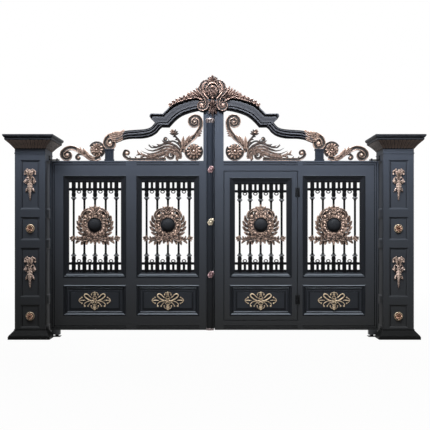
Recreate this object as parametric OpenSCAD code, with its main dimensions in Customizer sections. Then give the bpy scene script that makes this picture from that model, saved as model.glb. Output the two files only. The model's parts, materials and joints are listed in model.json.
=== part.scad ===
// Double driveway gate with two clad posts, a wicket door and an arched pediment.
// Millimetres. The origin is the centre of the underside of the left post,
// +X runs to the right post, -Y is the street side and +Z is up.

/* [Opening] */
// Clear width between the two post shafts
opening_w = 4434; // [3900:1:5400]
// Gap between a leaf's outer edge and its post
post_gap = 17; // [14:1:30]
// Gap between the two leaves where they meet
meeting_gap = 8; // [6:1:14]
// Distance from a leaf's outer edge in to its heel pivot
pivot_inset = 85; // [70:1:100]

/* [Posts] */
// Width of the square post shaft
post_w = 400; // [330:1:480]
// Height of a post with its cap
post_h = 2670; // [2500:1:3200]
// Wall of the post sleeve, which is also the depth of its sunk panels
sleeve_wall = 14; // [10:1:20]
// Margin of the shaft beside its sunk panels
panel_margin = 72; // [50:1:86]
// Width of the sloping edge round a sunk panel
panel_slope_w = 22; // [18:1:27]
// Height of the plinth
plinth_h = 127; // [105:1:152]
// Height of the upright foot of the plinth
plinth_foot_h = 38; // [25:1:46]
// How far the plinth stands out beyond the shaft
plinth_out = 72; // [50:1:86]
// Height of the cap
cap_h = 176; // [150:1:211]
// How far the cap stands out beyond the shaft
cap_out = 127; // [100:1:152]

/* [Leaf] */
// Height of the leaf's underside above the ground
leaf_bottom = 91; // [76:1:110]
// Height of the leaf from its underside to the top of its top rail
leaf_h = 2267; // [2100:1:2720]
// Thickness of stiles and rails
leaf_t = 60; // [50:1:72]
// Width of the hinge stile
hinge_stile_w = 176; // [150:1:211]
// Width of the mullion between the two bays
mullion_w = 139; // [120:1:167]
// Width of the meeting stile
meeting_stile_w = 199; // [170:1:239]
// Height of the top rail
top_rail_h = 197; // [164:1:236]
// Height of the lock rail between window and lower panel
lock_rail_h = 103; // [86:1:124]
// Height of the lower panel
low_panel_h = 413; // [344:1:495]
// Height of the bottom rail
bottom_rail_h = 190; // [158:1:228]
// Width of the edge moulding on stiles and rails
edge_w = 58; // [45:1:70]

/* [Windows] */
// Width of the moulding round a window or a lower panel
moulding_w = 71; // [59:1:85]
// How far a moulding stands proud of the leaf's face
moulding_proud = 6; // [3:1:8]
// Thickness of the lip at a moulding's inner edge
lip_t = 28; // [22:1:34]

/* [Grilles] */
// Balusters in one window
balusters = 5; // [4:1:6]
// Radius of a baluster's slim shaft
shaft_r = 13.5; // [11:0.5:16]
// Radius of a baluster's thick ends
block_r = 25; // [20:0.5:28]
// Distance from the outer baluster's axis to the moulding
grille_margin = 62.5; // [50:0.5:75]
// Height of the cross bars
cross_bar_h = 28; // [22:1:34]

/* [Wicket] */
// Gap between the wicket door and the leaf around it
wicket_gap = 8; // [7:1:10]
// Width of the leaf's stile between the meeting edge and the wicket
lock_stile_w = 121; // [100:1:145]
// Width of the leaf's stile on the wicket's hinge side
wicket_mullion_w = 63; // [52:1:76]
// Width of the wicket's own stiles
wicket_stile_w = 74; // [62:1:88]
// Height of the wicket's top edge below the leaf's top
wicket_drop = 142; // [118:1:170]
// Height of the wicket's bottom edge above the leaf's underside
wicket_sill_h = 135; // [112:1:162]
// Height of the wicket's own top rail
wicket_top_rail_h = 82; // [68:1:98]
// Radius of the wicket's hinge barrels
barrel_r = 11; // [9:0.5:13]
// Height of one hinge
barrel_h = 112; // [93:1:134]

/* [Ornament] */
// Depth of the pediment's scrollwork
scroll_t = 34; // [28:1:40]
// Radius of a window's wreath
wreath_r = 250; // [208:1:262]
// Radius of the half-round column on the meeting edge
column_r = 46; // [38:1:46]
// Height of the arch's crest above the leaf's top
arch_rise = 862; // [718:1:1034]

/* [Hidden] */

GREY = "#3a3f46";
DARK = "#25282c";
BRONZE = "#a5714f";
STEEL = "#8a8d90";

// Clearances: a seat leaves a hair, a pin has a running fit in its bore
seat_gap = 0.3;
pin_fit = 0.05;
over = 1;

// Places across the gate, counted out from the meeting line
gate_x = opening_w / 2 + post_w / 2;
leaf_in = meeting_gap / 2;
leaf_out = opening_w / 2 - post_gap;
pivot_u = leaf_out - pivot_inset;
bay_w = (leaf_out - leaf_in - hinge_stile_w - mullion_w - meeting_stile_w) / 2;
inner_bay_u = leaf_in + meeting_stile_w + bay_w / 2;
outer_bay_u = leaf_out - hinge_stile_w - bay_w / 2;
mullion_u = inner_bay_u + bay_w / 2;

// Heights of a leaf's members
leaf_top = leaf_bottom + leaf_h;
panel_z = leaf_bottom + bottom_rail_h;
lock_z = panel_z + low_panel_h;
window_z = lock_z + lock_rail_h;
window_h = leaf_top - top_rail_h - window_z;

// Depths
mid_y = leaf_t / 2;
face_t = leaf_t / 2 + moulding_proud;

// The wicket's doorway and door
door_in = leaf_in + lock_stile_w;
door_out = mullion_u + mullion_w - wicket_mullion_w;
wicket_in = door_in + wicket_gap;
wicket_out = door_out - wicket_gap;
wicket_z = leaf_bottom + wicket_sill_h;
wicket_top = leaf_top - wicket_drop;
wicket_bay_w = wicket_out - wicket_in - 2 * wicket_stile_w;
wicket_bay_u = (wicket_in + wicket_out) / 2;
wicket_window_h = wicket_top - wicket_top_rail_h - window_z;
hinge_u = (door_out + wicket_out) / 2;
hinge_y = -barrel_r - 1;
hinge_shares = [0.109, 0.832];
hinge_z = [for (share = hinge_shares) mix(wicket_z, wicket_top, share)];
hinge_wing_t = 3;
hinge_wing_w = 24;
knuckle_gap = 1;
hinge_pin_r = 6;

// Pivots of the leaves
floor_pin_r = 15;
top_pin_r = 12;
floor_plate_t = 8;
shoe_clear = 28;
shoe_h = leaf_bottom - shoe_clear;
shoe_in = 45;
shoe_roof = 10;
pin_drop = 22;
bracket_t = 12;
bracket_z = leaf_top + 8;

// ---- curves -------------------------------------------------------------

function mix(a, b, t) = a + (b - a) * t;
function last(p) = p[len(p) - 1];
function back(p) = [for (i = [len(p) - 1:-1:0]) p[i]];
function knot(p, i) = p[max(0, min(len(p) - 1, i))];

// A smooth line through chosen points, with n steps between neighbours
function between(a, b, c, d, t) =
  (2 * b + (c - a) * t + (2 * a - 5 * b + 4 * c - d) * t * t
    + (3 * b - a - 3 * c + d) * t * t * t) / 2;
function flow(p, n) = [
  for (i = [0:len(p) - 2], j = [0:n - 1])
    between(knot(p, i - 1), p[i], p[i + 1], knot(p, i + 2), j / n),
  last(p)
];

// A line's band, tapering from w0 wide to w1 wide
function heading(p, i) = let (d = knot(p, i + 1) - knot(p, i - 1)) d / norm(d);
function edge(p, w0, w1) = [
  for (i = [0:len(p) - 1])
    let (d = heading(p, i), w = mix(w0, w1, i / (len(p) - 1)) / 2) p[i] + w * [-d[1], d[0]]
];
function ribbon(p, w0, w1) = concat(edge(p, w0, w1), back(edge(p, -w0, -w1)));

function ring(c, rx, ry, n) = [for (i = [0:n - 1]) c + [rx * cos(360 * i / n), ry * sin(360 * i / n)]];

// A round flower outline with petals
function petals(c, r, depth, n) = [
  for (i = [0:4 * n - 1])
    c + (r - depth * (1 - abs(cos(45 * i)))) * [cos(90 * i / n), sin(90 * i / n)]
];

// ---- solids -------------------------------------------------------------

// Everything on one side of the meeting line: side is -1 for the left, 1 for the right
module half(side) {
  translate([gate_x, 0, 0])
    if (side < 0) mirror([1, 0, 0]) children();
    else children();
}

// Flat outlines in X and Z, standing between two depths
module upright(y0, y1) {
  for (i = [0:$children - 1])
    translate([0, y1, 0]) rotate([90, 0, 0]) linear_extrude(y1 - y0) children(i);
}

// A square mitred moulding: the outline's half is turned over and run both ways
module square_moulding(outline, reach) {
  both = concat(outline, [for (p = back(outline)) [-p[0], p[1]]]);
  intersection() {
    translate([0, reach, 0]) rotate([90, 0, 0]) linear_extrude(2 * reach) polygon(both);
    rotate([0, 0, 90]) translate([0, reach, 0]) rotate([90, 0, 0])
      linear_extrude(2 * reach) polygon(both);
  }
}

// Two runs of outlines, one up and one across, and what lies in both
module mitred(w, h, up, across) {
  intersection() {
    linear_extrude(h + 2 * over, center = true) polygon(up);
    rotate([0, -90, 0]) linear_extrude(w + 2 * over, center = true) polygon(across);
  }
}

module box(u0, u1, y0, y1, z0, z1) {
  translate([u0, y0, z0]) cube([u1 - u0, y1 - y0, z1 - z0]);
}

// ---- posts --------------------------------------------------------------

panel_w = post_w - 2 * panel_margin;
shaft_top = post_h - cap_h;
small_panel_h = 303;
panel_band = 100;
top_margin = 147;
base_panel_z = plinth_h + 20;
lower_tall_z = base_panel_z + small_panel_h + panel_band;
tall_panel_h = (shaft_top - top_margin - small_panel_h - 2 * panel_band - lower_tall_z) / 2;
mid_panel_z = lower_tall_z + tall_panel_h + panel_band;
upper_tall_z = mid_panel_z + small_panel_h + panel_band;
sunk_panels = [
  [base_panel_z, small_panel_h], [lower_tall_z, tall_panel_h],
  [mid_panel_z, small_panel_h], [upper_tall_z, tall_panel_h]
];
tube_w = post_w - 2 * sleeve_wall;
tube_wall = 8;
foot_plate_t = 12;
neck_z = shaft_top - 64;

// A sunk panel's cut into the sleeve: its edges slope down to the tube inside
function sunk_run(w) = let (r = w / 2, lip = panel_slope_w / sleeve_wall) [
  [r + over * lip, -over], [r - panel_slope_w, sleeve_wall],
  [r - panel_slope_w, sleeve_wall + over], [panel_slope_w - r, sleeve_wall + over],
  [panel_slope_w - r, sleeve_wall], [-r - over * lip, -over]
];

module at_post(side) {
  translate([side < 0 ? 0 : 2 * gate_x, 0, 0]) children();
}

module post_shaft(side) {
  color(GREY) at_post(side) difference() {
    union() {
      translate([-post_w / 2, -post_w / 2, 0]) cube([post_w, post_w, shaft_top]);
      translate([-post_w / 2 - 5, -post_w / 2 - 5, neck_z]) cube([post_w + 10, post_w + 10, 14]);
    }
    translate([-tube_w / 2, -tube_w / 2, -over]) cube([tube_w, tube_w, shaft_top + 2 * over]);
    for (p = sunk_panels, turn = [0:90:270])
      rotate([0, 0, turn]) translate([0, -post_w / 2, p[0] + p[1] / 2])
        mitred(panel_w, p[1], sunk_run(panel_w), sunk_run(p[1]));
  }
}

module post_panels(side) {
  color(DARK) at_post(side) difference() {
    translate([-tube_w / 2, -tube_w / 2, 0]) cube([tube_w, tube_w, shaft_top]);
    translate([-tube_w / 2 + tube_wall, -tube_w / 2 + tube_wall, foot_plate_t])
      cube([tube_w - 2 * tube_wall, tube_w - 2 * tube_wall, shaft_top]);
  }
}

plinth_r = post_w / 2 + plinth_out;
plinth_step = 6;
notch_y = -45;

module post_base(side) {
  outline = [
    [plinth_r, 0], [plinth_r, plinth_foot_h], [plinth_r - plinth_step, plinth_foot_h + 4],
    [plinth_r - plinth_step, plinth_foot_h + 10],
    [post_w / 2 + 8, plinth_h - 14], [post_w / 2 + 8, plinth_h]
  ];
  color(GREY) at_post(side) difference() {
    square_moulding(outline, plinth_r + over);
    translate([-post_w / 2, -post_w / 2, -over]) cube([post_w, post_w, plinth_h + 2 * over]);
    translate([side < 0 ? post_w / 2 : -post_w, notch_y, -over])
      cube([post_w / 2, post_w, plinth_h + 2 * over]);
  }
}

cap_r = post_w / 2 + cap_out;
cap_wall = 12;
fascia_h = 21;
band_h = 32;
cove_top = shaft_top + cap_h - fascia_h - band_h - 13;
cove_r = cap_r - 20;
function cove(grow) = [
  for (i = [0:6])
    let (t = i / 6) [
      mix(post_w / 2 + 2, cove_r, t) - 7 * sin(180 * t) + grow,
      mix(shaft_top, cove_top, t) - grow / 2
    ]
];

module post_cap(side) {
  outline = concat(cove(0), [
    [cap_r - 20, cove_top + band_h - 6], [cap_r - 8, cove_top + band_h],
    [cap_r - 8, cove_top + band_h + 6], [cap_r, cove_top + band_h + 13],
    [cap_r, post_h]
  ]);
  color(DARK) at_post(side) difference() {
    square_moulding(outline, cap_r + over);
    translate([-post_w / 2 + cap_wall, -post_w / 2 + cap_wall, shaft_top - over])
      cube([post_w - 2 * cap_wall, post_w - 2 * cap_wall, cap_h - cap_wall + over]);
  }
}

leaf_band_t = 5;
module post_cap_leaves() {
  inner = [for (i = [1:5]) cove(seat_gap)[i]];
  outer = [for (i = [1:5]) cove(leaf_band_t)[i]];
  color(BRONZE) for (side = [-1, 1]) at_post(side) difference() {
    square_moulding(outer, cap_r);
    square_moulding(concat(
      [inner[0] - [0, 20]], inner, [last(inner) + [0, 20]]
    ), cap_r + over);
  }
}

drop_w = 157;
drop_h = 422;
drop_t = 26;
module drop() {
  half_outline = [
    [0, 0], [12, 26], [40, 70], [30, 120], [46, 190], [70, 250], [58, 330],
    [drop_w / 2, 372], [62, 410], [24, drop_h]
  ];
  polygon(concat(half_outline, [for (p = back(half_outline)) if (p[0] > 0) [-p[0], p[1]]]));
}

module on_faces(t) {
  for (front = [0, 180]) rotate([0, 0, front])
    translate([0, -tube_w / 2 - seat_gap - t, 0]) children();
}

module post_drops() {
  color(BRONZE) for (side = [-1, 1], z = [lower_tall_z, upper_tall_z]) at_post(side)
    on_faces(drop_t) translate([0, 0, z + (tall_panel_h - drop_h) / 2])
      upright(0, drop_t) drop();
}

rosette_r = 59;
rosette_t = 22;
module post_rosettes() {
  color(BRONZE) for (side = [-1, 1], z = [base_panel_z, mid_panel_z]) at_post(side)
    on_faces(rosette_t) translate([0, rosette_t, z + small_panel_h / 2]) rotate([90, 0, 0])
      rotate_extrude($fn = 32) polygon([
        [0, 0], [rosette_r, 0], [rosette_r, 8], [rosette_r - 8, 14], [rosette_r - 14, 9],
        [24, 9], [20, rosette_t - 4], [0, rosette_t]
      ]);
}

module pivot_brackets() {
  color(STEEL) for (side = [-1, 1]) half(side) {
    union() {
      box(pivot_u - 50, opening_w / 2, mid_y - 50, mid_y + 50, 0, floor_plate_t);
      translate([pivot_u, mid_y, 0]) cylinder(r = 24, h = shoe_clear - seat_gap, $fn = 32);
      translate([pivot_u, mid_y, 0]) cylinder(r = floor_pin_r, h = leaf_bottom - pin_drop, $fn = 32);
    }
    difference() {
      union() {
        translate([pivot_u, mid_y, bracket_z]) cylinder(r = 35, h = bracket_t, $fn = 32);
        box(pivot_u, opening_w / 2, mid_y - 35, mid_y + 35, bracket_z, bracket_z + bracket_t);
        box(opening_w / 2 - 10, opening_w / 2, mid_y - 35, mid_y + 35, bracket_z, bracket_z + 60);
      }
      translate([pivot_u, mid_y, bracket_z - over])
        cylinder(r = top_pin_r + pin_fit, h = bracket_t + 2 * over, $fn = 32);
    }
  }
}

// ---- leaf frame ---------------------------------------------------------

// The edge moulding: two shallow grooves beside each other, on both faces
groove_w = 9;
groove_t = 4;
groove_at = [22, edge_w - groove_w];

upper_stile_w = 143;

module left_leaf_stiles() {
  color(GREY) half(-1) {
    hinge_stile();
    box(mullion_u, mullion_u + mullion_w, 0, leaf_t, leaf_bottom, leaf_top);
    upright(0, leaf_t) polygon([
      [leaf_in, leaf_bottom], [leaf_in + meeting_stile_w, leaf_bottom],
      [leaf_in + meeting_stile_w, leaf_top], [leaf_in + upper_stile_w, leaf_top],
      [leaf_in + upper_stile_w, leaf_top + arch_rise], [leaf_in, leaf_top + arch_rise]
    ]);
  }
}

module right_leaf_stiles() {
  color(GREY) half(1) {
    hinge_stile();
    box(door_out, door_out + wicket_mullion_w, 0, leaf_t, leaf_bottom, leaf_top);
    box(leaf_in, door_in, 0, leaf_t, leaf_bottom, leaf_top + arch_rise);
  }
}

module hinge_stile() {
  u0 = leaf_out - hinge_stile_w;
  difference() {
    box(u0, leaf_out, 0, leaf_t, leaf_bottom, leaf_top);
    for (g = groove_at, y = [-over, leaf_t - groove_t]) {
      y1 = y + groove_t + over;
      u1 = leaf_out - g;
      box(u1 - groove_w, u1, y, y1, leaf_bottom + g, leaf_top - g);
      box(u0 - over, u1, y, y1, leaf_top - g - groove_w, leaf_top - g);
      box(u0 - over, u1, y, y1, leaf_bottom + g, leaf_bottom + g + groove_w);
    }
  }
}

// A rail with the edge moulding below its top edge (toward -1) or above its bottom edge (1)
module edge_rail(u0, u1, z0, z1, toward) {
  difference() {
    box(u0, u1, 0, leaf_t, z0, z1);
    for (g = groove_at, y = [-over, leaf_t - groove_t]) {
      z = toward < 0 ? z1 - g - groove_w : z0 + g;
      box(u0 - over, u1 + over, y, y + groove_t + over, z, z + groove_w);
    }
  }
}

module bay_rails(u) {
  u0 = u - bay_w / 2;
  u1 = u + bay_w / 2;
  edge_rail(u0, u1, leaf_top - top_rail_h, leaf_top, -1);
  box(u0, u1, 0, leaf_t, lock_z, window_z);
  edge_rail(u0, u1, leaf_bottom, panel_z, 1);
}

module left_leaf_rails() {
  color(GREY) half(-1) for (u = [inner_bay_u, outer_bay_u]) bay_rails(u);
}

module right_leaf_rails() {
  color(GREY) half(1) {
    bay_rails(outer_bay_u);
    edge_rail(door_in, door_out, wicket_top + wicket_gap, leaf_top, -1);
    edge_rail(door_in, door_out, leaf_bottom, wicket_z - wicket_gap, 1);
  }
}

// ---- windows and panels -------------------------------------------------

function mirrored(p) = concat(p, [for (q = back(p)) if (q[0] > 0) [-q[0], q[1]]]);

// A moulding's hollow, w across: a bead at the edge, then a slope down to the lip
quirk = [14, 20, 27];
function hollow(w) = mirrored([
  [w / 2 - quirk[0], face_t + over], [w / 2 - quirk[0], face_t],
  [w / 2 - quirk[1], face_t - 7], [w / 2 - quirk[2], face_t - 7],
  [w / 2 - moulding_w + 9, lip_t / 2]
]);

module frame_slab(w, h) {
  difference() {
    cube([w, 2 * face_t, h], center = true);
    mitred(w, h, hollow(w), hollow(h));
    mirror([0, 1, 0]) mitred(w, h, hollow(w), hollow(h));
  }
}

module moulding(u, z, w, h) {
  translate([u, mid_y, z + h / 2]) difference() {
    frame_slab(w, h);
    cube([w - 2 * moulding_w, 4 * face_t, h - 2 * moulding_w], center = true);
  }
}

// The raised field of a lower panel, standing out on both faces
field_edge = 6;
field_slope = 26;
field_t = 22;
function field(w) = let (r = w / 2 - moulding_w - field_edge) [
  [r, 0], [r, lip_t / 2 + 2], [r - field_slope, field_t],
  [field_slope - r, field_t], [-r, lip_t / 2 + 2], [-r, 0],
  [-r, -lip_t / 2 - 2], [field_slope - r, -field_t],
  [r - field_slope, -field_t], [r, -lip_t / 2 - 2]
];

module raised_panel(u, z, w, h) {
  translate([u, mid_y, z + h / 2]) union() {
    frame_slab(w, h);
    mitred(w, h, field(w), field(h));
  }
}

module left_leaf_mouldings() {
  color(DARK) half(-1) for (u = [inner_bay_u, outer_bay_u])
    moulding(u, window_z, bay_w, window_h);
}

module left_leaf_panels() {
  color(DARK) half(-1) for (u = [inner_bay_u, outer_bay_u])
    raised_panel(u, panel_z, bay_w, low_panel_h);
}

module right_leaf_moulding() { color(DARK) half(1) moulding(outer_bay_u, window_z, bay_w, window_h); }
module right_leaf_panel() { color(DARK) half(1) raised_panel(outer_bay_u, panel_z, bay_w, low_panel_h); }

// ---- grilles ------------------------------------------------------------

end_bar_h = [34, 14];
upper_bar_drop = 122;
lower_bar_rise = 111;
bar_t = 20;
stub_w = 34;
stub_t = 14;
ring_r = 18;
ring_wire = 4.5;

// A turned end, given from the cross bar's middle away to the slim shaft
function turned_end(spread) = [
  [block_r, 0], [block_r, 84], [block_r - 7, 92], [block_r + 2, 106], [block_r - 7, 120],
  [block_r + spread, 132], [block_r + spread, 148], [shaft_r, 156]
];

// A baluster between z0 and z1, with cross bars at z0 + rise and z1 - drop
module baluster(z0, z1, rise, drop) {
  lower = [for (p = turned_end(6)) [p[0], z0 + rise + p[1]]];
  upper = [for (p = back(turned_end(2))) [p[0], z1 - drop - p[1]]];
  rotate_extrude($fn = 32)
    polygon(concat([[0, z0], [block_r, z0]], lower, upper, [[block_r, z1], [0, z1]]));
}

// The grille of a window with clear size w by h, its bottom at z
module grille(u, z, w, h) {
  pitch = (w - 2 * grille_margin) / (balusters - 1);
  low = z + lower_bar_rise;
  high = z + h - upper_bar_drop;
  first = u - w / 2 + grille_margin;
  translate([0, mid_y, 0]) union() {
    box(u - w / 2, u + w / 2, -bar_t / 2, bar_t / 2, z, z + end_bar_h[0]);
    box(u - w / 2, u + w / 2, -bar_t / 2, bar_t / 2, z + h - end_bar_h[1], z + h);
    for (bar = [low, high])
      box(u - w / 2, u + w / 2, -bar_t / 2, bar_t / 2, bar - cross_bar_h / 2, bar + cross_bar_h / 2);
    for (i = [0:balusters - 1])
      translate([first + i * pitch, 0, 0])
        baluster(z + end_bar_h[0] / 2, z + h - end_bar_h[1] / 2,
          lower_bar_rise - end_bar_h[0] / 2, upper_bar_drop - end_bar_h[1] / 2);
    for (i = [0:balusters - 2]) {
      c = first + (i + 0.5) * pitch;
      box(c - stub_w / 2, c + stub_w / 2, -stub_t / 2, stub_t / 2, z + end_bar_h[0] / 2, low);
      box(c - stub_w / 2, c + stub_w / 2, -stub_t / 2, stub_t / 2, high, z + h - end_bar_h[1] / 2);
      for (ring_z = [low + cross_bar_h / 2 + ring_r, high - cross_bar_h / 2 - ring_r])
        translate([c, 0, ring_z]) rotate([90, 0, 0])
          rotate_extrude($fn = 24) translate([ring_r, 0]) circle(r = ring_wire, $fn = 16);
    }
  }
}

module bay_grille(u) {
  grille(u, window_z + moulding_w, bay_w - 2 * moulding_w, window_h - 2 * moulding_w);
}

module left_leaf_grilles() { color(DARK) half(-1) for (u = [inner_bay_u, outer_bay_u]) bay_grille(u); }
module right_leaf_grille() { color(DARK) half(1) bay_grille(outer_bay_u); }

// ---- wreaths, bosses and cartouches -------------------------------------

wreath_z = window_z + window_h * 0.514;
boss_r = 92;
boss_depth = 50;
wreath_t = 26;
garland_drop = 204;

// The same piece on the front and on the back of a leaf, standing off its middle by reach
module both_faces(reach) {
  translate([0, mid_y - reach, 0]) children();
  translate([0, mid_y + reach, 0]) mirror([0, 1, 0]) children();
}

module wreath_outline() {
  difference() {
    union() {
      polygon(petals([0, 0], wreath_r, 34, 12));
      polygon([[-88, 200], [88, 200], [60, 262], [0, wreath_r + 13], [-60, 262]]);
      polygon(concat(
        flow([[-335, -200], [-290, -170], [-200, -215], [-100, -170], [0, -200]], 3),
        flow([[0, -200], [100, -170], [200, -215], [290, -170], [335, -200]], 3),
        flow([[300, -225], [200, -281], [100, -235], [0, -281]], 3),
        flow([[0, -281], [-100, -235], [-200, -281], [-300, -225]], 3)
      ));
    }
    polygon(ring([0, 0], boss_r + 12, boss_r + 12, 24));
  }
}

module wreath(u) {
  translate([u, 0, wreath_z]) both_faces(shaft_r + seat_gap)
    union() {
      upright(-wreath_t, 0) wreath_outline();
      rotate([90, 0, 0]) difference() {
        cylinder(r = boss_r + 14, h = wreath_t + 6, $fn = 48);
        translate([0, 0, -over]) cylinder(r = boss_r + seat_gap, h = wreath_t + 8, $fn = 48);
      }
    }
}

module boss(u) {
  translate([u, 0, wreath_z]) both_faces(shaft_r + seat_gap)
    rotate([90, 0, 0]) rotate_extrude($fn = 48)
      polygon(concat([[0, 0], [boss_r, 0]],
        [for (i = [0:8]) [boss_r * cos(90 * i / 8), 16 + boss_depth * sin(90 * i / 8)]]));
}

module left_leaf_wreaths() { color(BRONZE) half(-1) for (u = [inner_bay_u, outer_bay_u]) wreath(u); }
module left_leaf_bosses() { color(DARK) half(-1) for (u = [inner_bay_u, outer_bay_u]) boss(u); }
module right_leaf_wreath() { color(BRONZE) half(1) wreath(outer_bay_u); }
module right_leaf_boss() { color(DARK) half(1) boss(outer_bay_u); }

cartouche_w = 430;
cartouche_h = 242;
cartouche_t = 20;

// Its scrolls, drawn to the right of the middle: a line and the width of its band
cartouche_scrolls = [
  [[[20, 70], [70, 60], [110, 20], [160, 10], [196, 0]], 38],
  [[[30, -50], [80, -70], [120, -30], [150, 30], [120, 70], [60, 80], [20, 84]], 30],
  [[[20, -84], [80, -84], [140, -50], [175, -20]], 30]
];

module cartouche_outline() {
  function fit(p, side) = [for (q = p) [side * q[0] * cartouche_w / 430, q[1] * cartouche_h / 242]];
  union() {
    polygon(fit(petals([0, 0], 62, 16, 8), 1));
    for (end = [-84, 84]) polygon(fit(ring([0, end], 40, 37, 16), 1));
    for (side = [-1, 1], scroll = cartouche_scrolls)
      polygon(fit(ribbon(flow(scroll[0], 4), scroll[1], scroll[1]), side));
  }
}

module cartouche(u, z) {
  translate([u, 0, z]) both_faces(field_t + seat_gap) upright(-cartouche_t, 0) cartouche_outline();
}

panel_mid = panel_z + low_panel_h / 2;
module left_leaf_cartouches() {
  color(BRONZE) half(-1) for (u = [inner_bay_u, outer_bay_u]) cartouche(u, panel_mid);
}
module right_leaf_cartouche() { color(BRONZE) half(1) cartouche(outer_bay_u, panel_mid); }

// ---- pediment -----------------------------------------------------------

// Pediment outlines are drawn for a leaf 2196 long and an arch 862 high, from the
// meeting line and the leaf's top, and stretched with the leaf and the arch
stretch_u = (leaf_out - leaf_in) / 2196;
stretch_z = arch_rise / 862;
function on_leaf(p) = [for (q = p) [q[0] * stretch_u, leaf_top + q[1] * stretch_z]];

arch_top_line = concat(
  [[862, 636], [701, 628]],
  flow([[680, 636], [635, 688], [588, 735], [527, 775], [460, 802], [380, 829], [313, 845], [232, 855]], 3)
);
arch_low_line = concat(
  flow([[232, 668], [313, 650], [380, 628], [447, 597], [514, 547], [567, 493]], 3),
  [[598, 449], [715, 449]],
  flow([
    [728, 429], [768, 380], [835, 335], [916, 309], [1077, 299], [1211, 289], [1264, 262], [1325, 240]
  ], 3)
);
arch_out_line = concat(
  flow([[1310, 330], [1197, 404], [1077, 416], [943, 427], [862, 449], [815, 494]], 3),
  [[900, 587]]
);
cap_line = concat([[870, 622], [701, 616]],
  flow([[672, 625], [628, 678], [583, 723], [523, 763], [457, 790], [377, 817], [310, 833], [236, 843]], 3));
low_cap_line = flow([[1290, 318], [1195, 392], [1077, 404], [943, 415], [868, 434]], 4);
cap_bead_w = 20;
cap_bead_out = 10;

module arch(side) {
  stile = side < 0 ? upper_stile_w : lock_stile_w;
  end_u = leaf_in + stile;
  color(GREY) half(side) union() {
    upright(0, leaf_t) polygon(concat(
      [[end_u, leaf_top + 860 * stretch_z]], back(on_leaf(arch_top_line)), back(on_leaf(arch_out_line)),
      back(on_leaf(arch_low_line)), [[end_u, leaf_top + 680 * stretch_z]]
    ));
    for (line = [cap_line, low_cap_line])
      upright(-cap_bead_out, leaf_t + cap_bead_out) polygon(ribbon(on_leaf(line), cap_bead_w, cap_bead_w));
  }
}

short_post_u = 1411;
short_post_w = 128;
short_post_h = 165;
block_h = [22, 20];
die_in = 8;
die_sink = 4;
flute_w = 14;
flute_t = 7;
flute_pitch = 30;
flute_end = 14;
module short_post(side) {
  u = short_post_u * stretch_u;
  r = short_post_w / 2;
  h = (short_post_h - 4) * stretch_z;
  die_z = [leaf_top + block_h[0], leaf_top + h - block_h[1]];
  color(GREY) half(side) difference() {
    union() {
      box(u - r, u + r, 0, leaf_t, leaf_top, die_z[0]);
      box(u - r + die_in, u + r - die_in, die_sink, leaf_t - die_sink, die_z[0], die_z[1]);
      box(u - r, u + r, 0, leaf_t, die_z[1], leaf_top + h);
    }
    for (i = [-1:1], y = [-over, leaf_t - die_sink - flute_t]) {
      flute_u = u + i * flute_pitch;
      box(flute_u - flute_w / 2, flute_u + flute_w / 2, y, y + die_sink + flute_t + over,
        die_z[0] + flute_end, die_z[1] - flute_end);
    }
  }
}

volute_c = [1404, 239];
volute_r = 92;
module arch_volute(side) {
  y0 = mid_y - scroll_t / 2 - 8;
  y1 = mid_y + scroll_t / 2 + 8;
  color(BRONZE) half(side) difference() {
    upright(y0, y1) {
      polygon(on_leaf(ring(volute_c, volute_r, volute_r, 28)));
      polygon(on_leaf(concat(
        flow([[1480, 250], [1479, 319], [1425, 380], [1350, 405], [1291, 400], [1207, 433]], 3),
        flow([[1200, 425], [1251, 350], [1315, 300], [1360, 270]], 3)
      )));
    }
    upright(y0 - over, y1 + over) {
      polygon(on_leaf(concat(arch_out_line, [[900, 300], [1100, 280], [1211, 280], [1330, 225]])));
      polygon([for (p = [[1300, 0], [1530, 0], [1530, 1], [1300, 1]])
        [p[0] * stretch_u, leaf_top + p[1] * (short_post_h - 4) * stretch_z]]);
    }
  }
}

// What rests on the leaf's top is cut off there
module above_leaf() {
  difference() {
    children();
    box(-over, 3000 * stretch_u, -2 * leaf_t, 3 * leaf_t, leaf_bottom, leaf_top);
  }
}

scroll_front = mid_y - scroll_t / 2;
scroll_back = mid_y + scroll_t / 2;

module outer_scroll(side) {
  color(BRONZE) half(side) above_leaf() upright(scroll_front, scroll_back) {
    polygon(on_leaf(ring([1981, 68], 69, 69, 24)));
    polygon(on_leaf(ribbon(flow([
      [2036, 60], [2048, 108], [2010, 158], [1948, 186], [1880, 172],
      [1815, 130], [1750, 80], [1690, 34], [1600, 8]
    ], 3), 40, 56)));
    polygon(on_leaf([
      [1690, 60], [1680, 105], [1725, 150], [1800, 179], [1815, 150], [1790, 110], [1740, 60]
    ]));
    polygon(on_leaf(ring([1827, 44], 36, 46, 16)));
    polygon(on_leaf(petals([1583, 150], 96, 14, 7)));
    polygon(on_leaf([[1520, -5], [1540, 80], [1630, 80], [1680, 10], [1680, -5]]));
    polygon(on_leaf([
      [1827, -5], [1827, 40], [1850, 100], [1880, 160], [1900, 160], [1870, 60], [1860, -5]
    ]));
  }
}

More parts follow.
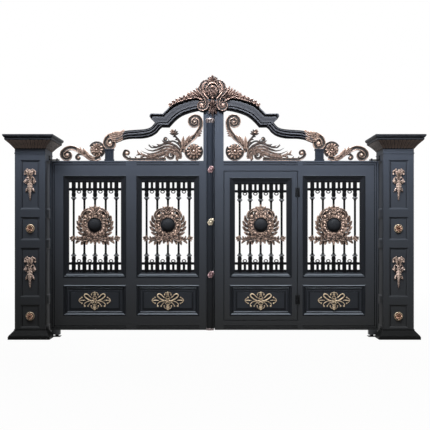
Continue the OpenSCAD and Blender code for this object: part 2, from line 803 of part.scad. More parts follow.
module inner_scroll(side) {
  stile = side < 0 ? upper_stile_w : lock_stile_w;
  color(BRONZE) half(side) difference() {
    above_leaf() upright(scroll_front, scroll_back) {
      polygon(on_leaf(ring([262, 534], 84, 84, 24)));
      polygon(on_leaf(ribbon(flow([
        [200, 560], [165, 500], [172, 430], [206, 360], [259, 293],
        [340, 212], [400, 132], [430, 60], [420, -20]
      ], 3), 44, 70)));
      polygon(on_leaf(petals([273, 122], 124, 16, 8)));
      polygon(on_leaf([[210, -5], [230, 60], [320, 60], [345, -5]]));
      polygon(on_leaf([[240, 300], [366, 353], [330, 385], [270, 375], [225, 330]]));
      polygon(on_leaf([[320, 252], [199, 289], [230, 240], [300, 215]]));
      polygon(on_leaf(ribbon(flow([
        [434, 100], [447, 226], [487, 293], [541, 339], [570, 380]
      ], 3), 26, 18)));
      polygon(on_leaf(petals([554, 393], 60, 12, 5)));
      polygon(on_leaf(ribbon(flow([
        [661, 280], [621, 250], [530, 262], [470, 200], [440, 120]
      ], 3), 22, 26)));
      polygon(on_leaf(ring([668, 292], 30, 30, 14)));
      polygon(on_leaf(ribbon(flow([
        [430, 80], [527, 205], [648, 220], [755, 190], [812, 120], [800, 20]
      ], 3), 70, 44)));
      polygon(on_leaf([[740, 160], [876, 185], [905, 215], [880, 225], [780, 225]]));
      polygon(on_leaf([[780, 100], [1030, 165], [900, 175], [800, 170]]));
      polygon(on_leaf(ring([581, 62], 64, 64, 20)));
      polygon(on_leaf(ribbon(flow([
        [560, 16], [680, 20], [795, 40], [929, 38], [1063, 25], [1170, 22]
      ], 3), 34, 30)));
      polygon(on_leaf(ring([1177, 78], 52, 76, 20)));
      polygon(on_leaf([[1040, 30], [1103, 85], [1150, 30]]));
    }
    box(-over, leaf_in + stile, -leaf_t, 2 * leaf_t, leaf_top, leaf_top + arch_rise);
  }
}

// ---- crown --------------------------------------------------------------

// The crown stands on the leaves' upper stiles, and is parted at the meeting line
crown_u = -24;
crown_front = -66;
crown_seat = -cap_bead_out - seat_gap;

crown_base = leaf_top + arch_rise;
function on_crown(p) = [for (q = p) [crown_u + q[0], crown_base + q[1]]];

// The shell, its neck and the palmette on top
module crown_top(y0, y1) {
  upright(y0, y1) {
    polygon(on_crown(ring([0, 101], 164, 118, 32)));
    polygon(on_crown(mirrored([[0, 180], [54, 180], [50, 240], [62, 262], [0, 279]])));
    polygon(on_crown([[-120, 0], [120, 0], [120, 60], [-120, 60]]));
  }
}

// The volutes, the stem with its flames and the hanging leaf
module crown_low(y0, y1) {
  upright(y0, y1) {
    polygon(on_crown(ring([-150, -127], 63, 63, 20)));
    polygon(on_crown(ring([150, -127], 63, 63, 20)));
    polygon(on_crown(mirrored([
      [0, 20], [140, 20], [60, -60], [57, -141], [75, -188], [40, -200], [26, -288], [0, -288]
    ])));
    polygon(on_crown(mirrored([[0, -20], [110, 30], [210, -60], [150, -130], [60, -130], [0, -140]])));
  }
}

// A plume grows out of the crown and lies along the arch
plume_root = [[120, crown_base + 98], [192, crown_base + 93]];
module crown_plume(y0, y1) {
  upright(y0, y1) polygon(ribbon(flow(concat(plume_root, on_leaf([
    [260, 930], [320, 890], [380, 858], [460, 824], [540, 792], [590, 752]
  ])), 3), 78, 26));
}

module crown_turned(side) {
  if (side < 0) mirror([1, 0, 0]) children();
  else children();
}

module crown(side) {
  color(BRONZE) half(side) intersection() {
    union() {
      for (y = [[crown_front, crown_seat], [leaf_t - crown_seat, leaf_t - crown_front]]) {
        crown_turned(side) crown_top(y[0], y[1]);
        crown_turned(side) crown_low(y[0], y[1]);
        crown_plume(y[0], y[1]);
      }
      intersection() {
        crown_turned(side) crown_top(crown_front, leaf_t - crown_front);
        box(-opening_w, opening_w, 2 * crown_front, leaf_t - 2 * crown_front, crown_base, 2 * leaf_top);
      }
    }
    box(leaf_in, opening_w, 2 * crown_front, leaf_t - 2 * crown_front, leaf_top, 2 * leaf_top);
  }
}

// ---- meeting column -----------------------------------------------------

column_u = leaf_in + column_r + 8;
column_top = leaf_top + 507;
column_foot_h = 24;

module column_part(r, h, z) {
  translate([0, 0, z]) rotate([0, 0, 180]) rotate_extrude(angle = 180, $fn = 48) square([r, h]);
}

module meeting_column() {
  color(GREY) half(-1) translate([column_u, -seat_gap, 0])
    column_part(column_r, column_top - leaf_bottom - column_foot_h, leaf_bottom + column_foot_h);
}

flower_shares = [0.325, 0.6357, 0.944];
flower_h = 70;
capital_h = 58;
ornament_out = 7.5;

module column_ornaments() {
  color(BRONZE) half(-1) translate([column_u, -seat_gap, 0]) {
    for (share = flower_shares)
      translate([0, 0, mix(leaf_bottom, leaf_top, share) - flower_h / 2])
        rotate([0, 0, 180]) rotate_extrude(angle = 180, $fn = 48)
          translate([column_r + seat_gap, 0]) polygon([
            [0, 0], [3, 0], [ornament_out, 20], [ornament_out, 50], [3, flower_h], [0, flower_h]
          ]);
    column_part(column_r + ornament_out, column_foot_h, leaf_bottom);
    column_part(column_r + ornament_out, capital_h, column_top);
  }
}

// ---- pivots and hinges --------------------------------------------------

module leaf_pivots(side) {
  color(STEEL) half(side) {
    difference() {
      box(pivot_u - shoe_in, leaf_out - 20, 0, leaf_t, shoe_clear, leaf_bottom);
      translate([pivot_u, mid_y, shoe_clear - over])
        cylinder(r = floor_pin_r + pin_fit, h = shoe_h - shoe_roof, $fn = 48);
    }
    translate([pivot_u, mid_y, leaf_top]) cylinder(r = top_pin_r, h = 34, $fn = 48);
  }
}

module knuckle(z, h) {
  translate([hinge_u, hinge_y, z]) cylinder(r = barrel_r, h = h, $fn = 32);
}

module hinge_pins() {
  color(GREY) half(1) for (z = hinge_z) union() {
    knuckle(z, barrel_h / 2 - knuckle_gap);
    translate([hinge_u, hinge_y, z]) cylinder(r = hinge_pin_r, h = barrel_h - 8, $fn = 32);
    box(hinge_u, hinge_u + hinge_wing_w, -hinge_wing_t, 0, z, z + barrel_h / 2 - knuckle_gap);
  }
}

module wicket_hinges() {
  color(GREY) half(1) for (z = hinge_z) difference() {
    union() {
      knuckle(z + barrel_h / 2, barrel_h / 2);
      box(hinge_u - hinge_wing_w, hinge_u, -hinge_wing_t, 0, z + barrel_h / 2, z + barrel_h);
    }
    translate([hinge_u, hinge_y, z + barrel_h / 2 - over])
      cylinder(r = hinge_pin_r + pin_fit, h = barrel_h / 2 - 4, $fn = 32);
  }
}

// ---- wicket -------------------------------------------------------------

module wicket_stiles() {
  color(GREY) half(1) {
    box(wicket_in, wicket_in + wicket_stile_w, 0, leaf_t, wicket_z, wicket_top);
    box(wicket_out - wicket_stile_w, wicket_out, 0, leaf_t, wicket_z, wicket_top);
  }
}

module wicket_rails() {
  u0 = wicket_in + wicket_stile_w;
  u1 = wicket_out - wicket_stile_w;
  color(GREY) half(1) {
    box(u0, u1, 0, leaf_t, wicket_z, panel_z);
    box(u0, u1, 0, leaf_t, lock_z, window_z);
    box(u0, u1, 0, leaf_t, wicket_top - wicket_top_rail_h, wicket_top);
  }
}

module wicket_moulding() {
  color(DARK) half(1) moulding(wicket_bay_u, window_z, wicket_bay_w, wicket_window_h);
}
module wicket_panel() {
  color(DARK) half(1) raised_panel(wicket_bay_u, panel_z, wicket_bay_w, low_panel_h);
}
module wicket_grille() {
  color(DARK) half(1) grille(wicket_bay_u, window_z + moulding_w,
    wicket_bay_w - 2 * moulding_w, wicket_window_h - 2 * moulding_w);
}
module wicket_wreath() { color(BRONZE) half(1) wreath(wicket_bay_u); }
module wicket_boss() { color(DARK) half(1) boss(wicket_bay_u); }
module wicket_cartouche() { color(BRONZE) half(1) cartouche(wicket_bay_u, panel_mid); }

post_shaft(-1);  // left_post_shaft
post_panels(-1);  // left_post_panels
post_base(-1);  // left_post_base
post_cap(-1);  // left_post_cap
post_shaft(1);  // right_post_shaft
post_panels(1);  // right_post_panels
post_base(1);  // right_post_base
post_cap(1);  // right_post_cap
post_cap_leaves();
post_drops();
post_rosettes();
pivot_brackets();
left_leaf_stiles();
left_leaf_rails();
left_leaf_mouldings();
left_leaf_panels();
left_leaf_grilles();
left_leaf_wreaths();
left_leaf_bosses();
left_leaf_cartouches();
short_post(-1);  // left_short_post
arch(-1);  // left_arch
arch_volute(-1);  // left_arch_volute
outer_scroll(-1);  // left_outer_scroll
inner_scroll(-1);  // left_inner_scroll
crown(-1);  // left_crown
leaf_pivots(-1);  // left_leaf_pivots
meeting_column();
column_ornaments();
right_leaf_stiles();
right_leaf_rails();
right_leaf_moulding();
right_leaf_panel();
right_leaf_grille();
right_leaf_wreath();
right_leaf_boss();
right_leaf_cartouche();
short_post(1);  // right_short_post
arch(1);  // right_arch
arch_volute(1);  // right_arch_volute
outer_scroll(1);  // right_outer_scroll
inner_scroll(1);  // right_inner_scroll
crown(1);  // right_crown
leaf_pivots(1);  // right_leaf_pivots
hinge_pins();
wicket_stiles();
wicket_rails();
wicket_moulding();
wicket_panel();
wicket_grille();
wicket_wreath();
wicket_boss();
wicket_cartouche();
wicket_hinges();
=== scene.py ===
"""A double driveway gate: the cast ornaments, the moulded arches and every finish,
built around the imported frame. Metres, Z up, the street side is -Y."""

import json
import math

import bpy
import numpy as np
from mathutils import Matrix, Vector


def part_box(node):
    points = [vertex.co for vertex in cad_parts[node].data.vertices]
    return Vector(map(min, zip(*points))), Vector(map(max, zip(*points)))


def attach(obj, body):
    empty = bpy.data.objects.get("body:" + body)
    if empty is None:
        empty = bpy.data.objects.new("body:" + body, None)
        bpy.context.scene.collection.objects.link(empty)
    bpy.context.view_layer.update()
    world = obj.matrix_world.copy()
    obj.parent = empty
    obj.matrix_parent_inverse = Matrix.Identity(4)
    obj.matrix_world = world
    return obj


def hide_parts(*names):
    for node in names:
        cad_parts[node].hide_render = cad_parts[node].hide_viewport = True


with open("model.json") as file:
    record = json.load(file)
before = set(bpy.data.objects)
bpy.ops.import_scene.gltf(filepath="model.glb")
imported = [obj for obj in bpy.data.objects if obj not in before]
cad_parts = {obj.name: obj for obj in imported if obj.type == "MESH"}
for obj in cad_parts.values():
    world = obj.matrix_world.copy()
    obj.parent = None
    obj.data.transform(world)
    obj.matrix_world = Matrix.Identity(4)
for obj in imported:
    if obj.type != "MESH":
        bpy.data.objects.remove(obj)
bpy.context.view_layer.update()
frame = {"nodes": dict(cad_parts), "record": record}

# ---------------------------------------------------------------- places in the frame

rails_low, rails_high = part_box("left_leaf_rails")
shaft_low, shaft_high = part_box("left_post_shaft")
LEAF_FRONT, LEAF_BACK = rails_low.y, rails_high.y
LEAF_FOOT, LEAF_TOP = rails_low.z, rails_high.z
MID_Y = (LEAF_FRONT + LEAF_BACK) / 2
STILE_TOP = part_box("left_leaf_stiles")[1].z
GATE_X = (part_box("left_post_base")[0].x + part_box("right_post_base")[1].x) / 2
POST_Y = (shaft_low.y + shaft_high.y) / 2
POSTS_X = (0.0, 2 * GATE_X)
SIDES = ((-1, "left"), (1, "right"))

# Bays, arches and the crown count across from the meeting line; other places are the frame's.
# A seat is the depth at which a casting's back stands.
BAYS = {"left_leaf": (-0.6235, -1.6035), "right_leaf": (1.6035,), "wicket": (0.6225,)}
GRILLE_MARGIN, BALUSTER_R = 0.0625, 0.0145
WREATH_SEAT, WREATH_Z = 0.0162, 1.498
CARTOUCHE_SEAT, CARTOUCHE_Z = 0.0077, 0.4875
CROWN_SHIFT, CROWN_SEAT = -0.024, -0.0103
ARCH_STARTS = {"left": 0.147, "right": 0.125}
COLUMN_X, COLUMN_Y, COLUMN_R = 2.359, -0.0003, 0.046

# The posts' square sleeves, half a side and the wall, and their sunk panels.
SLEEVE, SLEEVE_WALL, PANEL_MARGIN, PANEL_SLOPE = 0.200, 0.014, 0.072, 0.022
POST_PANELS = ((0.147, 0.450), (0.550, 1.197), (1.297, 1.600), (1.700, 2.347))
POST_SEAT = POST_Y - 0.1863
ROSETTE_HEIGHTS, DROP_HEIGHTS = (0.2985, 1.4485), (0.873, 2.023)
CAP_COVE_Z, CAP_TONGUES = 2.494, 11


# ---------------------------------------------------------------- camera, floor and lamps

def stand_camera():
    """The camera stands level, a little right of the gate's middle."""
    deselect()
    bpy.ops.object.camera_add(location=(GATE_X + 0.009, -9.3, 1.377),
                              rotation=(math.radians(90), 0, 0))
    camera = bpy.context.object
    camera.data.lens = 58.1
    camera.data.sensor_width = 36
    camera.data.shift_y = 0.0442
    camera.data.clip_end = 200
    bpy.context.scene.camera = camera


def lay_floor():
    """The floor lies a hair under the posts' feet."""
    deselect()
    bpy.ops.mesh.primitive_plane_add(size=60, location=(GATE_X, 0, -0.001))
    floor = bpy.context.object
    floor.name = "floor"
    floor.data.materials.append(floor_white())


def hang_lamp(name, place, aim, width, height, watts, spread=180, tint=(1, 1, 1)):
    deselect()
    bpy.ops.object.light_add(type="AREA", location=place)
    lamp = bpy.context.object
    lamp.name = name
    lamp.data.shape = "RECTANGLE"
    lamp.data.size = width
    lamp.data.size_y = height
    lamp.data.energy = watts
    lamp.data.color = tint
    lamp.data.spread = math.radians(spread)
    lamp.rotation_euler = (Vector(aim) - Vector(place)).to_track_quat("-Z", "Y").to_euler()


def light_studio():
    """A long soft box over each side of the gate, and two weak ones that fill."""
    sky = (0.90, 0.955, 1.0)
    hang_lamp("front_softbox", (GATE_X - 0.6, -2.8, 5.9), (GATE_X, 0, 3.3), 7.5, 1.2, 345, 84, sky)
    hang_lamp("side_softbox", (GATE_X + 6.5, -4.5, 4.6), (GATE_X, 0, 2.6), 3, 3, 6)
    hang_lamp("back_softbox", (GATE_X + 0.6, 2.8, 5.9), (GATE_X, 0, 3.3), 7.5, 1.2, 360, 84, sky)
    hang_lamp("top_softbox", (GATE_X, 0.0, 7.5), (GATE_X, 0, 0), 8, 3, 70)


# ---------------------------------------------------------------- making materials

class Value:
    """A shader socket that adds its Math nodes as it is reckoned with."""

    def __init__(self, paint, socket):
        self.paint = paint
        self.socket = socket

    def reckon(self, operation, *values):
        return self.paint.node("ShaderNodeMath", {"operation": operation}, dict(enumerate(values)))

    def __add__(self, other):
        return self.reckon("ADD", self, other)

    def __sub__(self, other):
        return self.reckon("SUBTRACT", self, other)

    def __rsub__(self, other):
        return self.reckon("SUBTRACT", other, self)

    def __mul__(self, other):
        return self.reckon("MULTIPLY", self, other)

    def __pow__(self, other):
        return self.reckon("POWER", self, other)

    __radd__ = __add__
    __rmul__ = __mul__


class Paint:
    """The nodes of a material or of the world, and the method that adds one."""

    def __init__(self, owner):
        owner.use_nodes = True
        self.owner = owner
        self.tree = owner.node_tree
        self.tree.nodes.clear()

    def node(self, kind, settings, values, out=0):
        made = self.tree.nodes.new(kind)
        for key, value in settings.items():
            if key == "stops":
                self.set_stops(made.color_ramp, value)
            else:
                setattr(made, key, value)
        for key, value in values.items():
            if isinstance(value, Value):
                self.tree.links.new(value.socket, made.inputs[key])
            else:
                made.inputs[key].default_value = value
        return Value(self, made.outputs[out]) if len(made.outputs) else None

    def set_stops(self, ramp, stops):
        while len(ramp.elements) < len(stops):
            ramp.elements.new(1)
        for element, (place, colour) in zip(ramp.elements, stops):
            element.position = place
            element.color = (*colour, 1)

    def place(self):
        return self.node("ShaderNodeTexCoord", {}, {}, "Object")

    def noise(self, scale, detail=3):
        return self.node("ShaderNodeTexNoise", {},
                         {"Vector": self.place(), "Scale": scale, "Detail": detail})

    # The marked attribute: rubbed wear, and painted highlights and painted shade written from each
    # piece's shape.
    def rub(self):
        return self.node("ShaderNodeAttribute", {"attribute_name": "rub"}, {}, "Fac")

    def seen_or_mirrored(self):
        """1 for the camera's, mirrors' and clear glass's rays, 0 for the light that falls."""
        camera, mirror, glass = (self.node("ShaderNodeLightPath", {}, {}, "Is %s Ray" % kind)
                                 for kind in ("Camera", "Glossy", "Transmission"))
        return camera + mirror + glass

    def ramp(self, factor, stops):
        return self.node("ShaderNodeValToRGB", {"stops": stops}, {"Fac": factor})

    def between(self, factor, first, second):
        """A colour between two, which may be links."""
        full = [c if isinstance(c, Value) else (*c, 1) for c in (first, second)]
        return self.node("ShaderNodeMix", {"data_type": "RGBA"},
                         {0: factor, 6: full[0], 7: full[1]}, 2)

    def bump(self, height, strength, distance):
        return self.node("ShaderNodeBump", {}, {
            "Height": height, "Strength": strength, "Distance": distance})

    def surface(self, **values):
        named = {key.replace("_", " "): value for key, value in values.items()}
        shader = self.node("ShaderNodeBsdfPrincipled", {}, named)
        self.node("ShaderNodeOutputMaterial", {}, {"Surface": shader})
        return self.owner


def new_paint(name):
    return Paint(bpy.data.materials.new(name))


def deselect():
    if bpy.context.object and bpy.context.object.mode != "OBJECT":
        bpy.ops.object.mode_set(mode="OBJECT")
    bpy.ops.object.select_all(action="DESELECT")


# ---------------------------------------------------------------- finishes

def floor_white():
    """A pale floor that shows white and still takes a soft shadow."""
    paint = new_paint("pale_floor")
    away = paint.node("ShaderNodeVectorMath", {"operation": "LENGTH"}, {0: paint.place()}, "Value")
    fade = paint.node("ShaderNodeMapRange", {}, {"Value": away, "From Min": 3.0, "From Max": 9.0,
                                                 "To Min": 0.972, "To Max": 1.0})
    matt = paint.node("ShaderNodeBsdfDiffuse", {}, {"Color": (0.27, 0.25, 0.22, 1)})
    white = paint.node("ShaderNodeEmission", {}, {"Color": (1, 1, 1, 1), "Strength": 1.0})
    mixed = paint.node("ShaderNodeMixShader", {},
                       {0: paint.seen_or_mirrored() * fade, 1: matt, 2: white})
    paint.node("ShaderNodeOutputMaterial", {}, {"Surface": mixed})
    return paint.owner


def white_surroundings():
    """A grey room for the light, white where it is seen or mirrored."""
    world = bpy.context.scene.world or bpy.data.worlds.new("surroundings")
    bpy.context.scene.world = world
    paint = Paint(world)
    colour = paint.between(paint.seen_or_mirrored(), (0.060, 0.056, 0.051), (1, 1, 1))
    background = paint.node("ShaderNodeBackground", {}, {"Color": colour})
    paint.node("ShaderNodeOutputWorld", {}, {"Surface": background})


def satin(paint, colour, clouds, roughness, specular):
    """A powder coat's satin surface, in soft clouds and fine grain."""
    grain = paint.noise(650, 2)
    return paint.surface(
        Base_Color=colour,
        Roughness=roughness + 0.1 * clouds + 0.06 * grain,
        Metallic=0.0,
        Specular_IOR_Level=specular,
        Normal=paint.bump(grain, 0.25, 0.0004))


def anthracite_coat(name, light, dark):
    """Powder coat of two near greys, with painted shade that darkens it toward the ground."""
    paint = new_paint(name)
    clouds = paint.noise(2.2, 4)
    height = paint.node("ShaderNodeSeparateXYZ", {}, {0: paint.place()}, "Z")
    # Painted shade: the coat is mixed toward a darker, neutral grey near the ground, where less
    # light falls.
    low_shade = 0.28 * (light[1] + dark[1])
    shaded_grey = (1.01 * low_shade, low_shade, 0.99 * low_shade)
    colour = paint.between(1.0 - 0.4 * height, paint.between(clouds, dark, light), shaded_grey)
    return satin(paint, colour, clouds, 0.40, 0.04)


def grooved_coat(name, hollow, edge):
    """Powder coat over a moulding, with painted light: black as painted shade in the grooves and on
    slopes that face down, the plain coat or a painted highlight on the beads and on slopes that
    face up.
    """
    paint = new_paint(name)
    clouds = paint.noise(2.2, 4)
    # The marked value picks the colour: the hollow colour is painted shade, the edge colour the
    # coat or a painted highlight.
    colour = paint.between(1.5 * paint.rub() - 0.55 + 0.1 * clouds, hollow, edge)
    return satin(paint, colour, clouds, 0.36, 0.05)


def rubbed_bronze(name, deep, body, bright, painted_glints):
    """Antique bronze: dark in the hollows from patina and painted shade, bright on the ridges from
    rubbed wear and a painted highlight, and flecked with painted glints.
    """
    paint = new_paint(name)
    rub = paint.rub()
    # Ambient occlusion darkens the hollows and the gaps between parts: painted shade over the
    # bronze's patina.
    openness = paint.node("ShaderNodeAmbientOcclusion", {"samples": 8, "only_local": True},
                          {"Distance": 0.035}, "AO")
    patches = paint.noise(9, 4)
    grain = paint.noise(260, 3)
    # Rubbed wear with a painted highlight on the ridges, painted shade in the hollows, and random
    # patches and grain of tone.
    wear_and_light = 1.1 * rub * openness ** 1.3 + 0.25 * (patches - 0.5) + 0.1 * (grain - 0.5)
    # Painted glints: bright and dark flecks standing in for fine relief that catches the light.
    wear_and_light = wear_and_light + painted_glints * (paint.noise(42, 2) - 0.5)
    tone = paint.ramp(wear_and_light, [(0.20, deep), (0.52, body), (0.98, bright)])
    return paint.surface(
        Base_Color=tone,
        Roughness=0.55 - 0.22 * rub + 0.08 * grain,
        Metallic=0.5,
        Normal=paint.bump(grain, 0.3, 0.0006))


def bright_steel(name):
    paint = new_paint(name)
    brushed = paint.noise(90, 3)
    return paint.surface(
        Base_Color=paint.between(brushed, (0.035, 0.036, 0.039), (0.062, 0.064, 0.068)),
        Roughness=0.32 + 0.15 * brushed, Metallic=0.9,
        Normal=paint.bump(brushed, 0.2, 0.0003))


def mix_finishes():
    """Every finish, by its name."""
    # Each: the tone of the hollows (patina and painted shade), the body, the bright tone (rubbed
    # wear and painted highlight) and the strength of the painted glints.
    bronzes = {
        "red_bronze": ((0.010, 0.005, 0.004), (0.150, 0.055, 0.034), (0.60, 0.38, 0.25), 1.2),
        "column_bronze": ((0.008, 0.006, 0.006), (0.075, 0.054, 0.054), (0.40, 0.33, 0.32), 0.8),
        "antique_bronze": ((0.010, 0.007, 0.006), (0.105, 0.070, 0.058), (0.41, 0.280, 0.220), 0.9),
        "drop_bronze": ((0.006, 0.004, 0.003), (0.085, 0.056, 0.046), (0.60, 0.44, 0.36), 1.0),
        "wreath_bronze": ((0.004, 0.003, 0.003), (0.040, 0.023, 0.018), (0.51, 0.355, 0.280), 1.9),
        "crown_bronze": ((0.004, 0.003, 0.003), (0.042, 0.022, 0.018), (0.33, 0.212, 0.172), 1.2),
        "bud_bronze": ((0.012, 0.004, 0.005), (0.110, 0.045, 0.050), (0.40, 0.27, 0.27), 1.2),
        "dark_bronze": ((0.004, 0.003, 0.003), (0.012, 0.008, 0.006), (0.075, 0.046, 0.034), 0.5),
        "pale_gold": ((0.030, 0.022, 0.015), (0.20, 0.16, 0.11), (0.72, 0.62, 0.46), 0.0),
        "old_gold": ((0.008, 0.006, 0.004), (0.105, 0.078, 0.054), (0.60, 0.46, 0.31), 1.0),
    }
    coats = {
        "anthracite": ((0.049, 0.055, 0.070), (0.036, 0.041, 0.053)),
        "dark_anthracite": ((0.025, 0.026, 0.031), (0.016, 0.017, 0.020)),
        "column_coat": ((0.020, 0.0235, 0.032), (0.014, 0.0165, 0.023)),
        "foot_black": ((0.0140, 0.0148, 0.0165), (0.0100, 0.0106, 0.0120)),
        # Black of the rubber seals and strips, and of the inlays that are painted shade.
        "rubber_black": ((0.005, 0.005, 0.006), (0.003, 0.003, 0.004)),
    }
    # Each: painted shade black for grooves and slopes that face down, then the colour of beads and
    # slopes that face up, the coat or a painted highlight.
    grooved = {
        "moulded_anthracite": ((0.0015, 0.0016, 0.002), (0.067, 0.068, 0.078)),
        "turned_black": ((0.0035, 0.0035, 0.0042), (0.130, 0.130, 0.135)),
        "mitred_black": ((0.0105, 0.0112, 0.0135), (0.110, 0.120, 0.136)),
    }
    made = {"steel": bright_steel("steel")}
    for mix, colours in ((rubbed_bronze, bronzes), (anthracite_coat, coats),
                         (grooved_coat, grooved)):
        for name, values in colours.items():
            made[name] = mix(name, *values)
    return made


# ---------------------------------------------------------------- shaping pieces by hand
# A piece is shaped flat: x runs across or along it, y up, and z out toward the viewer.

def hold(*pieces):
    """Selects these pieces alone, with the last one active."""
    deselect()
    for piece in pieces:
        piece.select_set(True)
    bpy.context.view_layer.objects.active = pieces[-1]


def rows_of(items, key, width=3, kind=float):
    """One property of a mesh's points, edges or faces, a row for each."""
    flat = np.empty(len(items) * width, kind)
    items.foreach_get(key, flat)
    return flat.reshape(-1, width)


def points_of(piece):
    return rows_of(piece.data.vertices, "co")


def set_points(piece, x, y, z):
    shaped = np.column_stack([x, y, z])
    piece.data.vertices.foreach_set("co", shaped.ravel())
    piece.data.update()


def edit_points(piece):
    """Enters edit mode with every point selected."""
    hold(piece)
    bpy.ops.object.mode_set(mode="EDIT")
    bpy.ops.mesh.select_mode(type="VERT")
    bpy.ops.mesh.select_all(action="SELECT")
    return piece


def leave_edit():
    bpy.ops.object.mode_set(mode="OBJECT")


def pick_edges(piece, test):
    """Enters edit mode with the edges whose run from end to end passes the test."""
    edit_points(piece)
    bpy.ops.mesh.select_mode(type="EDGE")
    bpy.ops.mesh.select_all(action="DESELECT")
    leave_edit()
    places = [vertex.co for vertex in piece.data.vertices]
    for edge in piece.data.edges:
        first, second = (places[v] for v in edge.vertices)
        edge.select = test(second - first)
    bpy.ops.object.mode_set(mode="EDIT")


def apply_modifier(piece, kind, **settings):
    hold(piece)
    modifier = piece.modifiers.new(kind.lower(), kind)
    for key, value in settings.items():
        setattr(modifier, key, value)
    bpy.ops.object.modifier_apply(modifier=modifier.name)
    return piece


def merge_and_turn_out(piece):
    """Merges doubles, then turns every face outward."""
    edit_points(piece)
    bpy.ops.mesh.remove_doubles(threshold=0.00002)
    bpy.ops.mesh.normals_make_consistent(inside=False)
    leave_edit()
    return piece


def turned(outline, sides):
    """A turned piece about z, from an outline of (radius, height) points spun round."""
    deselect()
    bpy.ops.mesh.primitive_plane_add(size=0.001)
    piece = edit_points(bpy.context.object)
    bpy.ops.mesh.merge(type="CENTER")
    bpy.ops.transform.translate(value=(outline[0][0], 0, outline[0][1]))
    for before, point in zip(outline, outline[1:]):
        step = (point[0] - before[0], 0, point[1] - before[1])
        bpy.ops.mesh.extrude_vertices_move(TRANSFORM_OT_translate={"value": step})
    bpy.ops.mesh.select_all(action="SELECT")
    bpy.ops.mesh.spin(steps=sides, angle=2 * math.pi, center=(0, 0, 0), axis=(0, 0, 1))
    leave_edit()
    return merge_and_turn_out(piece)


def bar(section, cuts):
    """A bar one metre long along x; section is its outline, as (y, z) points."""
    deselect()
    bpy.ops.mesh.primitive_circle_add(vertices=len(section), radius=1, fill_type="NGON")
    piece = bpy.context.object
    across, out = np.array(section).T
    set_points(piece, 0 * across, across, out)
    edit_points(piece)
    bpy.ops.mesh.extrude_region_move(TRANSFORM_OT_translate={"value": (1, 0, 0)})
    leave_edit()
    pick_edges(piece, lambda run: abs(run.x) > 0.5)
    bpy.ops.mesh.subdivide(number_cuts=cuts)
    leave_edit()
    return merge_and_turn_out(piece)


def bend(piece, path, widths):
    """Bends a piece that lies along x onto a path in its own plane, scaled along it."""
    guide_curve = bpy.data.curves.new("bend_guide", "CURVE")
    guide_curve.dimensions = "2D"
    guide_curve.use_stretch = True
    guide_curve.use_deform_bounds = True
    spline = guide_curve.splines.new("POLY")
    spline.points.add(len(path) - 1)
    for point, place, width in zip(spline.points, path, widths):
        point.co = (place[0], place[1], 0, 1)
        point.radius = width
    guide = bpy.data.objects.new("bend_guide", guide_curve)
    bpy.context.scene.collection.objects.link(guide)
    apply_modifier(piece, "CURVE", object=guide, deform_axis="POS_X")
    bpy.data.objects.remove(guide)


def moved(piece, matrix):
    """A copy with its own mesh, moved by a matrix."""
    made = piece.copy()
    made.data = piece.data.copy()
    bpy.context.scene.collection.objects.link(made)
    made.data.transform(matrix)
    return made


def copied(piece, across=0.0, up=0.0, out=0.0, turn=0.0, size=1.0, lean=0.0, wide=1.0):
    """A copy turned in its plane, sized, leant out and put in place."""
    return moved(piece, Matrix.Translation((across, up, out))
                 @ Matrix.Rotation(math.radians(turn), 4, "Z")
                 @ Matrix.Rotation(math.radians(-lean), 4, "Y")
                 @ Matrix.Diagonal((size, size * wide, size, 1)))


def flipped(piece, axis):
    """A mirrored copy, its faces turned outward again."""
    signs = [-1 if name == axis else 1 for name in "xyz"]
    made = moved(piece, Matrix.Diagonal((*signs, 1)))
    made.data.flip_normals()
    return made


def joined(pieces):
    """One piece of many."""
    hold(*pieces)
    if len(pieces) > 1:
        bpy.ops.object.join()
    return bpy.context.object


def scrap(*pieces):
    for piece in pieces:
        bpy.data.objects.remove(piece)


def flow(points, steps=6):
    """A smooth line through chosen points."""
    known = [np.array(p, float) for p in points]
    known = [2 * known[0] - known[1], *known, 2 * known[-1] - known[-2]]
    line = []
    for a, b, c, d in zip(known, known[1:], known[2:], known[3:]):
        for t in np.arange(steps) / steps:
            line.append((2 * b + (c - a) * t + (2 * a - 5 * b + 4 * c - d) * t * t
                         + (3 * b - a - 3 * c + d) * t ** 3) / 2)
    return [*line, known[-2]]


def toward(turn):
    """One step in a direction given in degrees."""
    return np.array([math.cos(math.radians(turn)), math.sin(math.radians(turn))])


def arc(centre, radius, start, end, steps=24):
    """Points along part of a circle, between two directions in degrees."""
    return [np.array(centre) + radius * toward(turn) for turn in np.linspace(start, end, steps)]


def curl(centre, start, turns):
    """A spiral that winds from a start point in toward its centre; turns < 0 is clockwise."""
    end_share, steps_a_turn = 0.16, 22
    centre, start = np.array(centre, float), np.array(start, float)
    radius = np.linalg.norm(start - centre)
    angle = math.atan2(*(start - centre)[::-1])
    line = []
    for share in np.linspace(0, 1, int(abs(turns) * steps_a_turn) + 1):
        reach = radius * (1 - (1 - end_share) * share ** 0.9)
        way = angle + 2 * math.pi * turns * share
        line.append(centre + reach * np.array([math.cos(way), math.sin(way)]))
    return line


def taper(path, widths):
    """Widths along a path, evenly blended from one to the next."""
    return np.interp(np.linspace(0, 1, len(path)), np.linspace(0, 1, len(widths)), widths)


# ---------------------------------------------------------------- leaves, petals and scrolls

